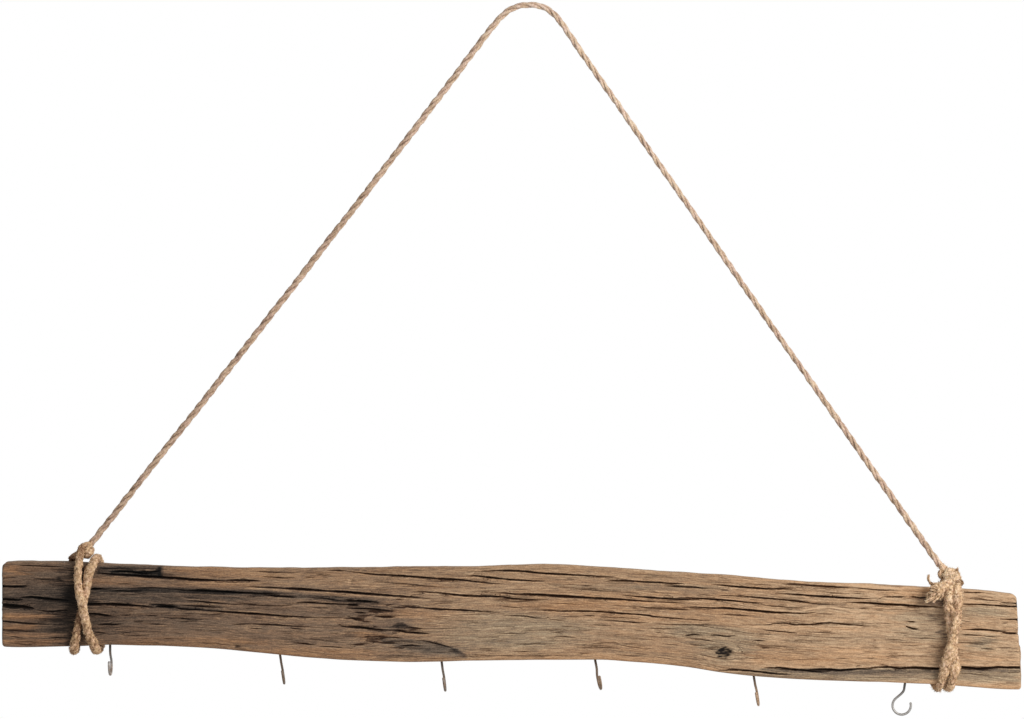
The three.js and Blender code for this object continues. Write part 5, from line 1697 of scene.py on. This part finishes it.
def makeLashings():
    tree = laidRopeTree(juteMaterial("fuzzyJute"))
    hairTree = strayFibreTree(hairMaterial("goldenFibre"))

    def finish(pieces):
        for piece in pieces:
            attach(piece, "beam")

    for end, chosen in lashings.items():
        points, thick = lashingLine(chosen["legs"])
        line, thick = evenly(points, thick, lashingSet["step"])
        line = softened(line, lashingSet["smooth"])
        thick = softened(thick[:, None], lashingSet["smoothGirth"])[:, 0]
        places = np.arange(len(line)) * lashingSet["step"] / lashingSet["wanderLength"]
        fade = np.minimum(1, np.minimum(places, places[::-1]))
        sway = latticeNoise(places, places * 0 + 1.5, 90 + chosen["seed"])
        line[:, 0] += lashingSet["wander"] * fade * sway
        shadeAndTone = np.full(len(line), chosen["tone"])
        # painted shade and changes of tone along the lashing
        for px, py, depth, reach, change in chosen["shades"]:
            x, z = fromPhoto(px, py, depth)
            away = (line - np.array([x, depth, z])) / np.array(reach)
            shadeAndTone += change * np.exp(-(away ** 2).sum(axis=1))
        girth = thick / lashingSet["diameter"]
        pieces = makeRope(end + "Lashing", line, girth, {**lashingSet, **chosen}, tree, hairTree, shadeAndTone)
        finish(pieces)
        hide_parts(chosen["node"])
        length = np.linalg.norm(np.diff(line, axis=0), axis=1).sum()
        print(f"{end} lashing: {length:.0f} mm, faces {[len(piece.data.polygons) for piece in pieces]}")
    for name, spots in looseEnds.items():
        points = np.array([(*fromPhoto(px, py, depth), depth) for px, py, depth, _ in spots])[:, [0, 2, 1]]
        line, thick = evenly(points, np.array([spot[3] for spot in spots]), looseSet["step"])
        line = softened(line, looseSet["smooth"])
        shadeAndTone = np.full(len(line), looseTones.get(name, looseSet["wispTone"]))
        finish(makeRope(name, line, thick / looseSet["diameter"], looseSet, tree, hairTree, shadeAndTone))
    print("loose ends:", len(looseEnds))


hookSet = {
    "wire": 2.4,
    "shank": 20.0,
    "point": 4.0,
    "neck": 7.0,
    "neckBend": 4.0,
    "neckSteps": 12,
    "bowl": 9.0,
    "bowlAngles": (150.0, 383.0),
    "bowlSteps": 40,
    "tip": [(0.5, 0.86), (0.8, 0.5)],  # how far past the bowl, and the share of the wire's thickness
    "threadPitch": 1.3,
    "threadHeight": 0.22,
    "threadStart": 1.5,
    "threadLength": 15.0,
    "sides": 14,
    "fineNoise": ((900.0, 900.0, 900.0), 3.0, 0.6),
    "broadNoise": ((260.0, 260.0, 260.0), 2.0, 0.5),
    "steel": [(0.35, (0.20, 0.19, 0.18)), (0.65, (0.40, 0.385, 0.37))],
    "brown": [(0.35, (0.13, 0.065, 0.035)), (0.65, (0.50, 0.34, 0.21))],
    # the dark colour of the hooks' grime and of the painted shade under the beam
    "grimeAndShade": (0.035, 0.026, 0.02, 1),
    "hooks": [
        {"name": "hook_1", "yaw": -95.0, "stand": 20.9, "rust": 0.42, "dark": 0.05, "shadeReach": 20},
        {"name": "hook_2", "yaw": -90.0, "stand": 20.5, "rust": 0.8, "dark": 0.68, "shadeReach": 20},
        {"name": "hook_3", "yaw": -92.0, "stand": 20.5, "rust": 0.55, "dark": 0.5, "shadeReach": 22},
        {"name": "hook_4", "yaw": -83.0, "stand": 20.5, "rust": 0.95, "dark": 0.42, "shadeReach": 20},
        {"name": "hook_5", "yaw": -95.0, "stand": 20.5, "rust": 0.9, "dark": 0.0, "shadeReach": 16},
        {"name": "hook_6", "yaw": 0.0, "stand": 23.0, "rust": 0.1, "dark": 0.0, "shadeReach": 17},
    ],
}


def wireMaterial():
    material, tree, shader = newMaterial("agedWire")
    place = add(tree, "ShaderNodeTexCoord").outputs["Object"]
    rust = attributeOf(tree, "rust")
    grimeAndShade = attributeOf(tree, "grimeAndShade")
    fine = noiseOf(tree, place, *hookSet["fineNoise"])
    broad = noiseOf(tree, place, *hookSet["broadNoise"])
    steel = rampOf(tree, fine, hookSet["steel"])
    brown = rampOf(tree, fine, hookSet["brown"])
    share = fitted(tree, calc(tree, "ADD", calc(tree, "SUBTRACT", broad, 0.5), rust), 0.3, 0.7)
    color = mixed(tree, share, steel, brown)
    # the hook's own grime, and painted shade under the beam
    color = mixed(tree, grimeAndShade, color, hookSet["grimeAndShade"])
    metal = fitted(tree, calc(tree, "MAXIMUM", share, grimeAndShade), 0.0, 1.0, 0.85, 0.15)
    rough = fitted(tree, fine, 0.3, 0.7, 0.35, 0.6)
    put(tree, shader, {"Base Color": color, "Normal": bumpOf(tree, 0.4, 0.0002, fine), "Metallic": metal,
                       "Roughness": rough})
    return material


def screwHookTree(material):
    # a wire along the line of edges that comes in, with a thread wound round the shank
    tree, given, result = newTree("screwHook", {
        "Wire": 0.0021,
        "Spacing": 0.0005,
        "Sides": 14,
        "Thread Turns": 12.0,
        "Thread Length": 0.015,
        "Thread Height": 0.0002,
        "Thread Start": 0.001,
    })
    curve = add(tree, "GeometryNodeMeshToCurve", {"Mesh": given["Geometry"]}).outputs["Curve"]
    curve = add(tree, "GeometryNodeResampleCurve", {"Curve": curve, "Length": given["Spacing"]},
                mode="LENGTH").outputs["Curve"]
    radius = calc(tree, "MULTIPLY", given["Wire"], 0.5)
    ring = add(tree, "GeometryNodeCurvePrimitiveCircle", {"Resolution": given["Sides"], "Radius": radius})
    wire = add(tree, "GeometryNodeCurveToMesh",
               {"Curve": curve, "Profile Curve": ring.outputs[0], "Scale": named(tree, "girth"),
                "Fill Caps": True}).outputs["Mesh"]
    spiral = add(tree, "GeometryNodeCurveSpiral",
                 {"Resolution": 14, "Rotations": given["Thread Turns"], "Start Radius": radius,
                  "End Radius": radius, "Height": given["Thread Length"]}).outputs["Curve"]
    start = add(tree, "ShaderNodeCombineXYZ", {"Z": given["Thread Start"]}).outputs["Vector"]
    spiral = add(tree, "GeometryNodeSetPosition", {"Geometry": spiral, "Offset": start}).outputs["Geometry"]
    ridge = add(tree, "GeometryNodeCurvePrimitiveCircle",
                {"Resolution": 4, "Radius": given["Thread Height"]})
    fade = tree.nodes.new("GeometryNodeSplineParameter").outputs["Factor"]
    fade = calc(tree, "MULTIPLY", calc(tree, "SUBTRACT", 1.0, fade), 6.0)
    fade = calc(tree, "MINIMUM", fade, 1.0)
    thread = add(tree, "GeometryNodeCurveToMesh",
                 {"Curve": spiral, "Profile Curve": ridge.outputs[0], "Scale": fade,
                  "Fill Caps": True}).outputs["Mesh"]
    joined = add(tree, "GeometryNodeJoinGeometry")
    tree.links.new(wire, joined.inputs[0])
    tree.links.new(thread, joined.inputs[0])
    tree.links.new(completed(tree, joined.outputs[0], material, ("girth",)), result)
    return tree


def hookLine(stand):
    # the wire's centre line in the plane of its bowl: gimlet point, shank, neck and bowl
    start, end = [math.radians(a) for a in hookSet["bowlAngles"]]
    bowl = hookSet["bowl"]
    meet = np.array([bowl * math.cos(start), bowl * math.sin(start) - stand])
    neck = -hookSet["neck"]
    bend = hookSet["neckBend"]
    control = [np.array([0, neck]), np.array([0, neck - bend]),
               meet + bend * np.array([math.sin(start), -math.cos(start)]), meet]
    points = [(0, hookSet["shank"], 0.12), (0, hookSet["shank"] - hookSet["point"], 1), (0, 0, 1)]
    for t in np.linspace(0, 1, hookSet["neckSteps"] + 1):
        weights = ((1 - t) ** 3, 3 * t * (1 - t) ** 2, 3 * t * t * (1 - t), t ** 3)
        spot = sum(w * c for w, c in zip(weights, control))
        points.append((spot[0], spot[1], 1))
    for i in range(1, hookSet["bowlSteps"] + 1):
        angle = start + (end - start) * i / hookSet["bowlSteps"]
        points.append((bowl * math.cos(angle), bowl * math.sin(angle) - stand, 1))
    way = np.array([-math.sin(end), math.cos(end)])
    bowlEnd = np.array(points[-1][:2])
    points += [(*(bowlEnd + way * past), share) for past, share in hookSet["tip"]]
    return np.array([(x, 0, z) for x, z, _ in points]), np.array([share for _, _, share in points])


def makeHooks():
    tree = screwHookTree(wireMaterial())
    joints = {joint["name"]: joint for joint in frame["record"]["behaviour"]["joints"]}
    for chosen in hookSet["hooks"]:
        name = chosen["name"]
        points, girth = hookLine(chosen["stand"])
        path = pathObject(name + "Path", points, girth)
        hook = grown(name + "Wire", path, tree, {
            "Wire": hookSet["wire"] * mm,
            "Sides": hookSet["sides"],
            "Thread Turns": hookSet["threadLength"] / hookSet["threadPitch"],
            "Thread Length": hookSet["threadLength"] * mm,
            "Thread Height": hookSet["threadHeight"] * mm,
            "Thread Start": hookSet["threadStart"] * mm,
        })
        bpy.data.objects.remove(path)
        mesh = hook.data
        spots = np.zeros(len(mesh.vertices) * 3, dtype=np.float32)
        mesh.vertices.foreach_get("co", spots)
        spots = spots.reshape(-1, 3)
        # darker towards the wood: painted shade under the beam, over each hook's own darkness
        above = np.clip(1 + spots[:, 2] / (chosen["shadeReach"] * mm), 0, 1)
        setValues(mesh, "grimeAndShade", np.maximum(chosen["dark"], 0.92 * above ** 0.9))
        setValues(mesh, "rust", np.full(len(spots), chosen["rust"]))
        joint = joints[name + "_turn"]
        lean = Vector((0, 0, 1)).rotation_difference(Vector(joint["axis"])).to_matrix().to_4x4()
        yaw = lean @ Matrix.Rotation(math.radians(chosen["yaw"]), 4, "Z")
        mesh.transform(Matrix.Translation(Vector(joint["pos_m"])) @ yaw)
        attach(hook, name)
        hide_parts(name)
    print("hooks:", len(hookSet["hooks"]))


bpy.context.scene.view_settings.view_transform = "Standard"
makeCamera()
makeSpan()
makeLashings()
makeHooks()
makeBeam()
makeLights()
makeFloor()
